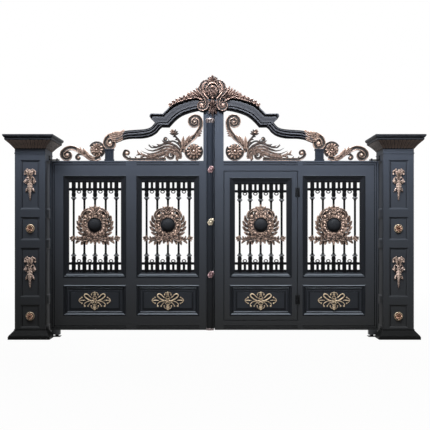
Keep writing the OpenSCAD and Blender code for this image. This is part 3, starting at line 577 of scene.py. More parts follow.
def leaf(lobes, cuts, slim=1.0, notch=0.45, cup=0.12, tip_curl=0.0):
    """A leaf one metre long along x, ribbed and lobed, with a real thickness."""
    rows, thick = 6, 0.05
    deselect()
    bpy.ops.mesh.primitive_grid_add(x_subdivisions=lobes * cuts, y_subdivisions=rows, size=1)
    piece = bpy.context.object
    x, y = points_of(piece).T[:2]
    along, side = x + 0.5, np.abs(2 * y)
    half = 0.5 * slim * (along + 0.03) ** 0.45 * (1.02 - along) ** 0.55
    lobe = np.abs(np.sin(math.pi * along * lobes)) ** 0.55
    bite = (1 - lobe) * notch * side ** 1.5
    forward = along + 0.5 * half * side ** 1.5 * (1 - along)
    rib = np.exp(-(side / 0.16) ** 2) - 0.7 * np.exp(-((side - 0.3) / 0.12) ** 2)
    swell = (1 - 0.8 * side ** 2) * (0.4 + 0.6 * np.sqrt(np.clip(4 * along * (1 - along), 0, 1)))
    vein = (1 - lobe) * side ** 0.6
    rise = cup * (swell + 0.3 * rib - 0.45 * vein) + tip_curl * along ** 2.2
    set_points(piece, forward, 2 * y * half * (1 - bite), rise)
    apply_modifier(piece, "SOLIDIFY", thickness=thick, offset=-1)
    return merge_and_turn_out(piece)


def round_section():
    """A strand's oval outline, flattened behind."""
    ways = np.linspace(0, 2 * math.pi, 10, endpoint=False)
    return [(0.5 * math.cos(way), 0.5 * max(math.sin(way), -0.35)) for way in ways]


def mirrored_front(half, middle):
    """The front of an outline, from the points of its left half and its middle one."""
    return [*half, middle, *((-y, z) for y, z in reversed(half))]


def rimmed_section():
    """A scroll's band: a raised rim at each edge and a hollow between, the same behind."""
    front = mirrored_front([(-0.50, 0.30), (-0.46, 0.48), (-0.39, 0.50), (-0.31, 0.42),
                            (-0.18, 0.24)], (0.0, 0.17))
    return [(y, 0.62 * z) for y, z in [*front, *((y, -z) for y, z in reversed(front))]]


def ridged_section():
    """A leaf lobe's outline: a sharp middle rib between two hollows."""
    front = mirrored_front([(-0.5, 0.04), (-0.38, 0.19), (-0.17, 0.17)], (0.0, 0.36))
    return [*front, (0.24, -0.10), (-0.24, -0.10)]


def ball(radius, across=0.0, up=0.0, out=0.0, flat=1.0, rings=8):
    """A cast bead, flattened a little toward the face it sits on."""
    deselect()
    bpy.ops.mesh.primitive_uv_sphere_add(segments=2 * rings, ring_count=rings, radius=radius)
    piece = bpy.context.object
    x, y, z = points_of(piece).T
    set_points(piece, x + across, y + up, z * flat + out)
    return piece


def block(corner, other, edge=0.0015):
    """A square bar between two opposite corners, its edges eased."""
    deselect()
    bpy.ops.mesh.primitive_cube_add(size=1)
    piece = bpy.context.object
    low, high = np.minimum(corner, other), np.maximum(corner, other)
    set_points(piece, *((points_of(piece) + 0.5) * (high - low) + low).T)
    return apply_modifier(piece, "BEVEL", width=edge, segments=1)


# ---------------------------------------------------------------- the stock of cast shapes

def cut_stock():
    """Shapes that repeat: each is modelled once here and copied into the castings."""
    return {
        "acanthus": leaf(4, 4, notch=0.5, cup=0.13),
        "frond": leaf(3, 4, slim=0.85),
        "blade": leaf(1, 7, slim=0.62, notch=0.0),
        "petal": leaf(1, 6, slim=1.15, notch=0.1, cup=0.16, tip_curl=0.12),
        "tongue": leaf(1, 8, slim=0.075, notch=0.0, cup=0.09),
        "band": bar(rimmed_section(), 60),
        "short_band": bar(rimmed_section(), 26),
        "strand": bar(round_section(), 16),
        "lobe": bar(ridged_section(), 9),
        "strap": bar([(-0.5, 0.0), (0.5, 0.0), (0.42, 0.14), (0.0, 0.17), (-0.42, 0.14)], 24),
        "bead": ball(1, flat=0.75, rings=6),
    }


def scroll(path, widths, kind="band", out=0.0, rise=0.0):
    """A band along a path, blended through its widths; its end rises out by rise."""
    made = copied(STOCK[kind])
    share = points_of(made)[:, 0]
    bend(made, path, taper(path, widths))
    x, y, z = points_of(made).T
    set_points(made, x, y, z + out + rise * share ** 2)
    return made


def lick(points, width, out=0.0, rise=0.0, tip=0.12):
    """One curved lobe of a leaf, widest below its middle; tip is the share left at its end."""
    widths = (0.55 * width, width, 0.86 * width, tip * width)
    return scroll(flow(points, 4), widths, "lobe", out, rise)


def feather(path, count, lengths, slim, lean, hook, side=1, start=0.0, end=1.0, out=0.0, rise=0.0,
            tip=0.12):
    """Lobes along one side of a stem, each leaving it at a slant and hooking on."""
    line = np.array(path)
    steps = np.linalg.norm(np.diff(line, axis=0), axis=1)
    run = np.concatenate([[0], np.cumsum(steps)]) / steps.sum()
    made = []
    for share in np.linspace(start, end, count):
        here, ahead = (np.array([np.interp(s, run, line[:, i]) for i in (0, 1)])
                       for s in (min(share, 0.98), min(share, 0.98) + 0.02))
        heading = math.degrees(math.atan2(*(ahead - here)[::-1]))
        reach = np.interp(share, [start, end], lengths)
        points = [here]
        for turn in (lean, lean + hook):
            points.append(points[-1] + 0.5 * reach * toward(heading + side * turn))
        made.append(lick(points, slim * reach, out, rise, tip))
    return made


def burst(centre, inner, reach, turns, width, hook=0.0, out=0.0, rise=0.0, edge=0.75, tip=0.12):
    """Lobes spread about a centre; the outer ones reach edge as far and hook outward."""
    middle = (turns[0] + turns[-1]) / 2
    spread = turns[-1] - middle
    made = []
    for turn in turns:
        share = (turn - middle) / spread
        length = reach * (1 - (1 - edge) * abs(share))
        points = [np.array(centre)
                  + (inner + length * along) * toward(turn + hook * share * along ** 2)
                  for along in (0, 0.5, 1)]
        made.append(lick(points, width, out, rise, tip))
    return made


def tresses(first, last, count, width, out=0.0, step=0.0, rise=0.0, tip=0.12):
    """Long lobes side by side, shaped evenly from the first line to the last."""
    first, last = np.array(first), np.array(last)
    return [lick((1 - share) * first + share * last, width, out + step * i, rise, tip)
            for i, share in enumerate(np.linspace(0, 1, count))]


def volute(lead_in, centre, turns, width, end_width, kind="band", out=0.0, eye=1.0):
    """A scroll that follows lead_in and then winds in to a round eye."""
    coil = curl(centre, lead_in[-1], turns)
    made = scroll([*lead_in, *coil[1:]], (width, width, end_width), kind, out)
    return [made, copied(STOCK["bead"], *centre, out, size=end_width * eye)]


def strand(points, *widths, out=0.004, bead=0.0):
    """A round filigree bar along a line, with a bead on its end."""
    path = flow(points)
    made = [scroll(path, [0.87 * width for width in widths], "strand", out)]
    if bead:
        made.append(copied(STOCK["bead"], *path[-1], out, size=bead))
    return made


def fan(kind, across, up, turns, size, out=0.0, lean=12.0, edge_share=0.75):
    """Leaves spread from one point; the middle one is the longest."""
    middle = (turns[0] + turns[-1]) / 2
    spread = max(abs(turns[0] - middle), 1)
    return [copied(STOCK[kind], across, up, out, turn, lean=lean,
                   size=size * (1 - (1 - edge_share) * abs(turn - middle) / spread))
            for turn in turns]


def rosette(radius, petals, kind="petal", lean=20.0):
    """A flower: an outer and an inner ring of petals round a beaded eye."""
    made = []
    for ring, (share, rise, tilt) in enumerate([(1.0, 0.0, lean), (0.62, 0.1, lean + 22)]):
        for i in range(petals):
            turn = 360 * (i + 0.5 * ring) / petals
            made.append(copied(STOCK[kind], 0, 0, rise * radius, turn, radius * share, tilt))
    made.append(copied(STOCK["bead"], 0, 0, 0.22 * radius, size=0.19 * radius))
    return made


def disc(radius):
    """The thin plate behind a rosette."""
    return turned([(0.0, -0.006), (radius, -0.006), (radius, 0.002), (0.96 * radius, 0.004),
                   (0.0, 0.005)], 40)


def shifted(pieces, across=0.0, up=0.0, out=0.0):
    for piece in pieces:
        piece.data.transform(Matrix.Translation((across, up, out)))
    return pieces


def both_sides(pieces, axis="x"):
    """The pieces and their mirror images."""
    return [*pieces, *(flipped(piece, axis) for piece in pieces)]


# ---------------------------------------------------------------- window wreath and boss

def wreath():
    """A wreath about the boss's centre, its back on the balusters at z 0."""
    ring = 0.128
    left = []
    for radius, count, reach, slim, lean, out, rise in (
            (0.164, 9, 0.122, 0.38, 46, 0.006, 0.010), (0.146, 7, 0.092, 0.34, 16, 0.018, 0.008),
            (0.118, 8, 0.055, 0.52, 74, 0.018, 0.002)):
        left += feather(arc((0, 0), radius, 246, 100), count, (reach, reach), slim, lean, -30, 1,
                        0.0, 1.0, out, rise, 0.34)
    arm = flow([(-0.01, 0.17), (-0.06, 0.21), (-0.12, 0.20), (-0.165, 0.15), (-0.16, 0.10)])
    left += volute(arm, (-0.120, 0.115), 1.1, 0.030, 0.016, "short_band", 0.024, 1.2)
    inner_arm = flow([(0.0, 0.15), (-0.03, 0.18), (-0.07, 0.17)])
    left += volute(inner_arm, (-0.062, 0.148), 1.1, 0.020, 0.012, "short_band", 0.026, 1.2)
    garland = flow([(0.0, -0.15), (-0.10, -0.19), (-0.19, -0.205), (-0.29, -0.18)])
    left.append(scroll(garland, (0.030, 0.028, 0.014), "short_band", 0.018))
    left += feather(garland, 5, (0.100, 0.065), 0.46, 34, 24, 1, 0.08, 0.90, 0.010, 0.008, 0.3)
    left += feather(garland, 5, (0.095, 0.060), 0.46, 34, 24, -1, 0.14, 0.90, 0.012, 0.006, 0.3)
    left += shifted(rosette(0.034, 5), -0.31, -0.177, 0.008)
    left += [copied(STOCK["bead"], *place, 0.018, size=0.015)
             for place in arc((0, 0), ring, 165, 235, 5)]
    middle = [scroll(arc((0, 0), ring, 90, 450, 48), (0.080,), "strap")]
    middle += burst((0, 0.14), 0.02, 0.112, range(42, 144, 24), 0.042, 18, 0.016, 0.008, 0.9, 0.3)
    middle += burst((0, -0.15), 0.0, 0.115, range(-140, -30, 25), 0.042, 16, 0.014, 0.008, 0.85,
                    0.3)
    for turn, place in zip(range(58, 130, 16), arc((0, 0), 0.142, 58, 122, 5)):
        middle.append(copied(STOCK["petal"], *place, 0.024, turn + 180, 0.044, -6))
    return both_sides(left) + middle


def boss():
    """A dark dome with a raised seat ring."""
    dome = [(0.084 * math.cos(w), 0.014 + 0.048 * math.sin(w))
            for w in np.linspace(0, math.pi / 2, 14)[:-1]]
    outline = [(0.0, 0.0), (0.096, 0.0), (0.098, 0.014), (0.095, 0.021), (0.091, 0.022),
               (0.088, 0.018), (0.0850, 0.013), *dome, (0.0, 0.062)]
    return turned(outline, 48)


# ---------------------------------------------------------------- panel cartouche

def cartouche():
    """A filigree ornament about its centre, its back on the panel's field at z 0."""
    half = strand([(0.0, -0.016), (0.055, -0.004), (0.112, 0.028), (0.143, 0.062), (0.133, 0.088),
                   (0.098, 0.083), (0.072, 0.058), (0.054, 0.042)], 0.022, 0.024, 0.015, bead=0.010)
    half += strand([(0.03, -0.012), (0.082, -0.010), (0.125, -0.030), (0.147, -0.058),
                    (0.138, -0.080)], 0.018, 0.016, 0.014, bead=0.013)
    half += strand([(0.02, -0.034), (0.056, -0.034), (0.078, -0.056), (0.094, -0.080)],
                   0.016, 0.013, bead=0.011)
    half += strand([(0.130, 0.0), (0.165, 0.001), (0.205, 0.0)], 0.010, 0.018, 0.014)
    for up in (1, -1):
        half += strand([(0.219, 0.0), (0.207, 0.022 * up), (0.178, 0.041 * up)],
                       0.016, 0.013, bead=0.011)
    half += strand([(0.0, 0.108), (0.024, 0.108), (0.044, 0.094), (0.045, 0.077)],
                   0.014, 0.012, bead=0.010)
    half += strand([(0.0, -0.118), (0.030, -0.112), (0.050, -0.092), (0.050, -0.078)],
                   0.016, 0.012, bead=0.011)
    half += strand([(0.034, 0.026), (0.016, 0.052), (0.004, 0.088)], 0.015, 0.011)
    half += strand([(0.032, -0.040), (0.016, -0.064), (0.004, -0.096)], 0.015, 0.011)
    middle = shifted(rosette(0.040, 6), 0, 0, 0.006)
    middle += [copied(STOCK["frond"], 0, 0.045, 0.003, 90, 0.078, 8),
               copied(STOCK["acanthus"], 0, -0.042, 0.003, -90, 0.094, 8)]
    return both_sides(half) + middle


# ---------------------------------------------------------------- post ornaments

def drop():
    """A hanging husk drop about the middle of its height, its back at z 0."""
    left = strand([(0.0, 0.176), (-0.036, 0.194), (-0.070, 0.176), (-0.066, 0.142)],
                  0.022, 0.014, out=0.008, bead=0.014)
    left += strand([(-0.010, 0.120), (-0.044, 0.092), (-0.072, 0.052)], 0.024, 0.016, out=0.006)
    left += fan("frond", -0.030, 0.155, [60, 95, 130], 0.060, 0.006, 16)
    left += fan("frond", -0.018, 0.045, [158, 186, 214], 0.066, 0.006, 14)
    left += strand([(-0.012, -0.082), (-0.036, -0.078), (-0.056, -0.090)], 0.012, 0.009, bead=0.009)
    left += fan("frond", -0.012, -0.02, [-122], 0.075, 0.004, 10)
    middle = fan("acanthus", 0, 0.105, [62, 90, 118], 0.10, 0.008, 22, 0.9)
    middle += shifted(rosette(0.036, 6), 0, 0.092, 0.010)
    middle += [copied(STOCK["acanthus"], 0, 0.075, 0.008, -90, 0.155, 6, 0.85)]
    middle += [copied(STOCK["acanthus"], 0, -0.010, 0.014, -90, 0.115, 4, 0.72)]
    middle += [copied(STOCK["acanthus"], 0, -0.085, 0.012, -90, 0.095, 2, 0.6)]
    middle += fan("frond", 0, 0.02, [-118, -62], 0.085, 0.006, 12)
    middle += [copied(STOCK["bead"], 0, z, 0.005, size=r)
               for z, r in ((-0.186, 0.011), (-0.205, 0.006))]
    return both_sides(left) + middle


def rosette_rim():
    """The dished rim of a post's rosette."""
    return turned([(0.0, 0.0), (0.0555, 0.0), (0.056, 0.008), (0.053, 0.013), (0.049, 0.014),
                   (0.045, 0.008), (0.0, 0.006)], 40)


# ---------------------------------------------------------------- pediment scrolls
# Across is counted out from the meeting line, up from the leaf's top, out from mid leaf.

def outer_scroll():
    """The S scroll between a post and the short post, with its rosette."""
    eye = (1.58, 0.15)
    stem = flow([(1.53, 0.05), (1.60, 0.03), (1.67, 0.04), (1.74, 0.09), (1.82, 0.14),
                 (1.90, 0.175), (1.98, 0.165), (2.04, 0.12)])
    made = volute(stem, (1.98, 0.08), -1.5, 0.064, 0.028, eye=1.0)
    made += shifted([disc(0.088)], *eye)
    made.append(scroll(arc(eye, 0.098, 25, 240), (0.026, 0.042, 0.034)))
    hook = flow([(1.71, 0.05), (1.77, 0.09), (1.82, 0.09), (1.855, 0.06)])
    made += volute(hook, (1.825, 0.045), -0.9, 0.034, 0.020, "short_band", eye=1.1)
    front = shifted(rosette(0.092, 12, "blade", lean=14), *eye, 0.004)
    front += feather(stem, 4, (0.130, 0.090), 0.46, 22, 20, 1, 0.16, 0.46, 0.014, 0.010)
    front += feather(stem, 4, (0.110, 0.080), 0.46, 2, 8, 1, 0.14, 0.50, 0.018, 0.006)
    return made + both_sides(front, "z")


def inner_scroll():
    """The vine between the arch and the meeting stile: volute, rosette, bud and leaves."""
    eye = (0.275, 0.13)
    rise = flow([(0.43, 0.12), (0.40, 0.20), (0.34, 0.26), (0.28, 0.31), (0.23, 0.37), (0.19, 0.44),
                 (0.18, 0.51)])
    made = volute(rise, (0.265, 0.525), -2.0, 0.062, 0.024, eye=0.9)
    made += shifted([disc(0.100)], *eye)
    made.append(scroll(arc(eye, 0.110, 12, -215), (0.042, 0.038, 0.026)))
    stalk = flow([(0.43, 0.12), (0.445, 0.21), (0.48, 0.28), (0.54, 0.35)])
    made.append(scroll(stalk, (0.044, 0.036, 0.022), "short_band"))
    tendril = flow([(0.435, 0.14), (0.47, 0.21), (0.54, 0.265), (0.61, 0.26), (0.67, 0.27)])
    made += volute(tendril, (0.65, 0.295), 1.0, 0.024, 0.014, "short_band", eye=1.2)
    vine = flow([(0.65, 0.02), (0.80, 0.022), (0.95, 0.022), (1.10, 0.02), (1.17, 0.035),
                 (1.215, 0.08), (1.205, 0.13)])
    made += volute(vine, (1.175, 0.105), 0.8, 0.042, 0.036, eye=0.8)
    coil = flow([(0.46, 0.03), (0.465, 0.09), (0.50, 0.13), (0.57, 0.14)])
    made += volute(coil, (0.58, 0.075), -1.25, 0.046, 0.022, "short_band", eye=0.6)
    made += burst((0.585, 0.080), 0.03, 0.085, range(0, 161, 32), 0.026, 24, 0.010, 0.006, 0.85,
                  0.3)
    made += burst((0.53, 0.045), 0.01, 0.070, (150, 185, 220), 0.028, 16, 0.006, 0.006, 0.9, 0.3)
    crest = [(0.44, 0.05), (0.46, 0.14), (0.53, 0.21), (0.64, 0.24), (0.74, 0.20), (0.83, 0.175),
             (0.89, 0.21)]
    brow = [(0.49, 0.02), (0.51, 0.08), (0.58, 0.12), (0.68, 0.115), (0.78, 0.07), (0.90, 0.055),
            (1.03, 0.10)]
    front = tresses(crest, brow, 4, 0.034, 0.004, 0.002)
    front += tresses([(0.60, 0.11), (0.69, 0.08), (0.77, 0.05), (0.86, 0.03)],
                     [(0.66, 0.05), (0.71, 0.04), (0.76, 0.03), (0.81, 0.02)], 2, 0.024, 0.008)
    front += feather(flow(crest), 5, (0.090, 0.075), 0.28, 22, 24, 1, 0.40, 0.88, 0.006)
    front += feather(flow(brow), 5, (0.115, 0.085), 0.30, 16, 24, 1, 0.52, 0.92, 0.014)
    front += feather(flow(brow), 4, (0.080, 0.060), 0.30, 26, 16, -1, 0.62, 0.94, 0.010)
    front += shifted(rosette(0.104, 12, "blade", lean=12), *eye, 0.0)
    front.append(copied(STOCK["bead"], *eye, 0.030, size=0.020))
    front += burst((0.54, 0.35), 0.0, 0.085, range(30, 160, 24), 0.034, 12, 0.004)
    front += shifted(rosette(0.034, 5), 0.565, 0.395, 0.006)
    front += feather(rise, 3, (0.165, 0.110), 0.34, 22, -6, -1, 0.10, 0.34, 0.014, 0.006)
    front += feather(rise, 3, (0.085, 0.060), 0.46, 30, 30, 1, 0.58, 0.72, 0.010)
    front += feather(stalk, 3, (0.070, 0.050), 0.44, 26, 36, -1, 0.40, 0.85, 0.004)
    front += feather(vine, 5, (0.075, 0.055), 0.42, 40, 24, 1, 0.22, 0.72, 0.006)
    return made + both_sides(front, "z")


def arch_volute():
    """The volute that ends the arch over the short post, with its leaf tail."""
    tail = flow([(1.23, 0.37), (1.30, 0.37), (1.38, 0.35), (1.44, 0.31), (1.465, 0.25)])
    made = volute(tail, (1.40, 0.235), -1.9, 0.062, 0.024, eye=1.3)
    for piece in made:
        piece.data.transform(Matrix.Diagonal((1, 1, 1.3, 1)))
    front = tresses([(1.41, 0.34), (1.33, 0.36), (1.26, 0.375), (1.21, 0.42)],
                    [(1.37, 0.27), (1.31, 0.28), (1.26, 0.29), (1.21, 0.31)],
                    4, 0.056, 0.018, 0.0, 0.006)
    return made + both_sides(front, "z")


# ---------------------------------------------------------------- crown
# Across is counted from the crown's own middle, up from the top of the upper stiles.

def crown_relief():
    """One face of the crown: shell, frames, volutes, palmette and hanging leaf."""
    shell, whorl = (-0.055, 0.11), (-0.14, -0.122)
    left = [scroll(arc(shell, 0.105, 112, 252), (0.024, 0.040, 0.040, 0.030), "short_band", 0.018),
            scroll(arc(shell, 0.074, 115, 240), (0.016, 0.022, 0.016), "strand", 0.028)]
    arm = flow([(-0.20, 0.10), (-0.16, 0.05), (-0.11, 0.0), (-0.08, -0.055), (-0.075, -0.11)])
    left += volute(arm, whorl, -1.5, 0.046, 0.020, out=0.024, eye=1.3)
    left += strand([(-0.13, 0.05), (-0.10, 0.01), (-0.055, -0.04)], 0.014, 0.022, 0.018, out=0.044)
    curl_in = flow([(-0.04, 0.075), (-0.075, 0.08), (-0.095, 0.105)])
    left += volute(curl_in, (-0.075, 0.120), -0.8, 0.020, 0.012, "short_band", 0.030, 1.3)
    left += burst((-0.09, -0.09), 0.0, 0.085, (110, 135, 160), 0.032, 16, 0.014)
    left.append(ball(0.066, *whorl, -0.012, 0.30, 10))
    middle = burst((0, 0.12), 0.02, 0.115, range(-155, -20, 18), 0.026, 0, 0.028, 0.0, 0.85)
    middle += burst((0, 0.196), 0.0, 0.080, range(40, 150, 25), 0.046, 20, 0.020, 0.006, 0.75, 0.5)
    middle += burst((0, 0.155), 0.02, 0.088, range(20, 166, 20), 0.038, 12, 0.014, 0.0, 1.05, 0.5)
    middle.append(scroll(arc((0, 0.10), 0.072, 35, 145), (0.014, 0.028, 0.014), "strand", 0.034))
    middle += burst((0, -0.13), 0.0, 0.105, (62, 90, 118), 0.050, 14, 0.018, 0.008, 0.7)
    middle += burst((0, -0.11), 0.0, 0.175, (-116, -103, -90, -77, -64), 0.040, 26, 0.014, 0.0,
                    0.62)
    middle += [copied(STOCK["bead"], 0, up, out, size=size) for up, out, size in (
        (0.122, 0.042, 0.020), (0.262, 0.020, 0.014), (-0.024, 0.034, 0.014))]
    middle += [ball(0.120, 0, 0.085, 0.0, 0.22, 12), ball(0.048, 0, -0.09, 0.0, 0.3, 10),
               ball(0.038, 0, -0.19, 0.0, 0.3, 8)]
    return both_sides(left) + middle


def crown_core():
    """The mass between the crown's two faces, above the stiles."""
    made = []
    for rings, up, size in ((14, 0.082, (0.130, 0.112, 0.066)), (8, 0.190, (0.052, 0.078, 0.054))):
        piece = ball(1, rings=rings)
        piece.data.transform(Matrix.Translation((0, up, CROWN_SEAT - MID_Y))
                             @ Matrix.Diagonal((*size, 1)))
        made.append(piece)
    return made


def plume():
    """The leaf that lies along the arch from the crown; counted as the scrolls are."""
    spine = [(0.13, 0.82), *((across, up + 0.004) for across, up in ARCH_CREST[1:7])]
    line = flow(spine)
    made = [scroll(line, (0.056, 0.046, 0.030, 0.012))]
    made += tresses([(0.14, 0.83), (0.165, 0.88), (0.185, 0.93), (0.205, 0.99)],
                    [(0.17, 0.83), (0.24, 0.86), (0.30, 0.88), (0.36, 0.90)],
                    5, 0.046, 0.012, 0.0, 0.010, 0.40)
    for lean, reach, out in ((26, 0.074, 0.012), (-8, 0.062, 0.016)):
        made += feather(line, 6, (reach, 0.7 * reach), 0.74, lean, 16, 1, 0.36, 0.94, out, 0.006,
                        0.5)
    return made


# ---------------------------------------------------------------- moulded arches

def moulding(tops, lows, profile):
    """A moulding drawn between a top line and a low line, the same in front and behind.

    The profile is (share of the way down, distance out) points."""
    outline = [(0.5 - share, out) for share, out in profile]
    outline += [(y, -out) for y, out in reversed(outline)]
    ribs = len(tops)
    piece = bar(outline, ribs - 2)
    x, y, z = points_of(piece).T
    rib = np.rint(x * (ribs - 1)).astype(int)
    tops, lows = np.array(tops), np.array(lows)
    place = lows[rib] + (tops[rib] - lows[rib]) * (y + 0.5)[:, None]
    set_points(piece, place[:, 0], place[:, 1], z)
    return merge_and_turn_out(piece)


ARCH_CREST = [(0.147, 0.860), (0.232, 0.855), (0.313, 0.845), (0.380, 0.829), (0.460, 0.802),
              (0.527, 0.775), (0.588, 0.735), (0.635, 0.688), (0.692, 0.632)]


def high_arch(start):
    """The upper moulding, from the stile at start to its ear above the low arch."""
    curve = flow([(start, 0.860), *ARCH_CREST[1:]])
    below = flow([(start, 0.680), (0.222, 0.670), (0.297, 0.653), (0.362, 0.633), (0.428, 0.606),
                  (0.486, 0.568), (0.535, 0.524), (0.570, 0.487), (0.602, 0.450)])
    ear = [*((0.692 + 0.032 * i, 0.632 + 0.0008 * i) for i in range(1, 6)), (0.868, 0.618),
           (0.870, 0.595), (0.850, 0.566)]
    ear_below = [*((0.602 + 0.0252 * i, 0.450) for i in range(1, 6)), (0.729, 0.450),
                 (0.730, 0.4505), (0.7305, 0.451)]
    profile = [(0.0, 0.020), (0.006, 0.036), (0.03, 0.0395), (0.07, 0.0395), (0.105, 0.034),
               (0.115, 0.014), (0.215, 0.014), (0.225, 0.0285), (0.27, 0.0300), (0.42, 0.0270),
               (0.59, 0.0290), (0.635, 0.0300), (0.645, 0.014), (0.715, 0.014), (0.725, 0.030),
               (0.755, 0.0345), (0.800, 0.0345), (0.830, 0.030), (0.840, 0.013), (0.93, 0.013),
               (0.94, 0.017), (1.0, 0.017)]
    return moulding([*curve, *ear], [*below, *ear_below], profile)


def low_arch():
    """The lower moulding, from under the ear down to the volute."""
    above = flow([(0.775, 0.548), (0.815, 0.494), (0.862, 0.449), (0.943, 0.427), (1.077, 0.416),
                  (1.197, 0.404), (1.270, 0.362), (1.320, 0.315)], 5)
    below = flow([(0.690, 0.458), (0.730, 0.427), (0.775, 0.374), (0.850, 0.329), (0.960, 0.303),
                  (1.130, 0.297), (1.235, 0.276), (1.325, 0.238)], 5)
    profile = [(0.0, 0.014), (0.12, 0.015), (0.13, 0.028), (0.16, 0.030), (0.21, 0.030),
               (0.24, 0.027), (0.25, 0.013), (0.36, 0.013), (0.37, 0.0290), (0.42, 0.0345),
               (0.50, 0.0345), (0.55, 0.029), (0.56, 0.012), (0.69, 0.012), (0.70, 0.0260),
               (0.74, 0.0300), (0.79, 0.0300), (0.83, 0.0260), (0.84, 0.012), (1.0, 0.013)]
    return moulding(above, below, profile)


# ---------------------------------------------------------------- meeting column

def wrapped(pieces):
    """Rolls flat pieces round the half column: x runs round it, y up, z out."""
    for piece in pieces:
        x, y, z = points_of(piece).T
        round_way = x / COLUMN_R
        reach = COLUMN_R + z
        set_points(piece, reach * np.sin(round_way), -reach * np.cos(round_way), y)
    return pieces


def half_turned(outline):
    """The front half of a turned piece, closed behind."""
    piece = edit_points(turned(outline, 40))
    bpy.ops.mesh.bisect(plane_co=(0, 0, 0), plane_no=(0, 1, 0), use_fill=True, clear_outer=True)
    leave_edit()
    return piece


def column_bud():
    """An open bud lying aslant: long petals along its lean, short ones across it."""
    made = [copied(STOCK["bead"], 0, 0, 0.010, size=0.012)]
    for i in range(10):
        along = abs(math.cos(math.radians(36 * i)))
        made.append(copied(STOCK["petal"], 0, 0, -0.001, 60 + 36 * i, 0.028 + 0.024 * along, 10))
    for turn in (42, 78, 222, 258):
        made.append(copied(STOCK["blade"], 0, 0, 0.004, turn, 0.036, 16))
    return wrapped(shifted(made, 0.012))


def column_capital():
    """A leafy capital under a moulded block, standing on its foot at z 0."""
    leaves = [copied(STOCK["frond"], (i - 2) * COLUMN_R * 0.66, 0.002, -0.002, 90, 0.044, 12)
              for i in range(5)]
    ring = half_turned([(0.0, 0.0), (0.047, 0.0), (0.049, 0.002), (0.047, 0.005), (0.046, 0.006),
                        (0.046, 0.038), (0.049, 0.042), (0.053, 0.045), (0.053, 0.055),
                        (0.051, 0.058), (0.0, 0.058)])
    return [*wrapped(leaves), ring]


def column_foot():
    """The column's turned base, standing on z 0."""
    return half_turned([(0.0, 0.0), (0.053, 0.0), (0.0535, 0.006), (0.0525, 0.010), (0.049, 0.012),
                        (0.049, 0.015), (0.051, 0.018), (0.050, 0.022), (0.0465, 0.024),
                        (0.0, 0.024)])


# ---------------------------------------------------------------- leaves under the post caps

def cap_leaves():
    """The four rows of tongues in one cap's cove, about the post's middle."""
    foot, head, rise, dip, thin = 0.202, 0.307, 0.110, 0.007, 0.05
    run = head - foot
    slope = math.hypot(run, rise)
    made = []
    for turn in (0, 90, 180, 270):
        for i in range(CAP_TONGUES):
            across = (i + 0.5) / CAP_TONGUES - 0.5
            piece = copied(STOCK["tongue"], across, 0.02, 0.0, 90, 0.96)
            x, y, z = points_of(piece).T
            level = np.clip(y, 0, 1)
            out = thin * z - dip * np.sin(math.pi * level)
            set_points(piece, x * 2 * (foot + run * level), -(foot + run * y + out * rise / slope),
                       rise * y - out * run / slope)
            piece.data.transform(Matrix.Rotation(math.radians(turn), 4, "Z"))
            made.append(piece)
    return made


# ---------------------------------------------------------------- rubbing

def mark(piece, rub, domain="POINT"):
    """Writes the rubbed wear and painted light of each point or face, or one value for all of them.
    """
    marked_values = piece.data.attributes.new("rub", "FLOAT", domain).data
    marked_values.foreach_set("value", np.full(len(marked_values), rub, np.float32))


def mark_rub(piece, depth=0.0):
    """Writes how much each point is rubbed and lit: ridges and what stands out take rubbed wear and
    a painted highlight, hollows stay dark as painted shade.

    With a depth, what lies low by a flat casting's ground is painted dark as shade, and the rubbed
    wear and painted highlight grow with the height over it."""
    places = points_of(piece)
    normals = rows_of(piece.data.vertices, "normal")
    first, second = rows_of(piece.data.edges, "vertices", 2, int).T
    run = places[second] - places[first]
    run /= np.maximum(np.linalg.norm(run, axis=1), 1e-9)[:, None]
    bulge, joins = np.zeros(len(places)), np.zeros(len(places))
    for points, sign in ((first, 1), (second, -1)):
        np.add.at(bulge, points, -sign * np.einsum("ij,ij->i", normals[points], run))
        np.add.at(joins, points, 1)
    bulge /= np.maximum(joins, 1)
    for _ in range(2):
        spread = bulge.copy()
        np.add.at(spread, first, bulge[second])
        np.add.at(spread, second, bulge[first])
        bulge = spread / (joins + 1)
    rub = 0.42 + 1.9 * bulge
    if depth:
        # Painted shade on what lies low by the ground, painted highlight growing with the height.
        height = np.abs(places[:, 2]) / depth
        rub = (0.18 + 2.1 * bulge + 0.35 * height) * np.clip((height - 0.12) / 0.33, 0, 1)
    mark(piece, np.clip(rub, 0, 1))


def mark_grooves(piece):
    """A moulding is painted black in its grooves as painted shade, and takes the plain coat where
    it stands out.
    """
    out = np.abs(points_of(piece)[:, 1] - MID_Y)
    mark(piece, np.clip((out - 0.018) / 0.014, 0, 1))


# ---------------------------------------------------------------- the gate put together

def stood(piece, across, seat, up, side=1, back=False, middle=MID_Y):
    """Stands a flat piece up in the gate: on a seat in front, or mirrored on the back."""
    piece.data.transform(Matrix.Translation((across, seat, up))
                         @ Matrix.Rotation(math.radians(90), 4, "X")
                         @ Matrix.Diagonal((side, 1, 1, 1)))
    if back:
        piece.data.transform(Matrix.Translation((0, 2 * middle, 0))
                             @ Matrix.Diagonal((1, -1, 1, 1)))
    if (side < 0) != back:
        piece.data.flip_normals()
    return piece


def finished(pieces, name, body, slot, nodes=(), angle=50, finish=None):
    """Joins the pieces under one name, attaches them to their body and gives them their finish, or
    their slot's finish where none is named.
    """
    piece = joined(pieces)
    piece.name = name
    piece.data.materials.clear()
    piece.data.materials.append(FINISHES[finish or slot])
    hold(piece)
    bpy.ops.object.shade_smooth_by_angle(angle=math.radians(angle))
    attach(piece, body)
    if nodes:
        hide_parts(*nodes)
    return piece


def cast(pieces, depth=0.0):
    """One casting of many pieces, marked with its rubbed wear, painted highlights and painted
    shade.
    """
    piece = joined(pieces)
    mark_rub(piece, depth)
    return piece


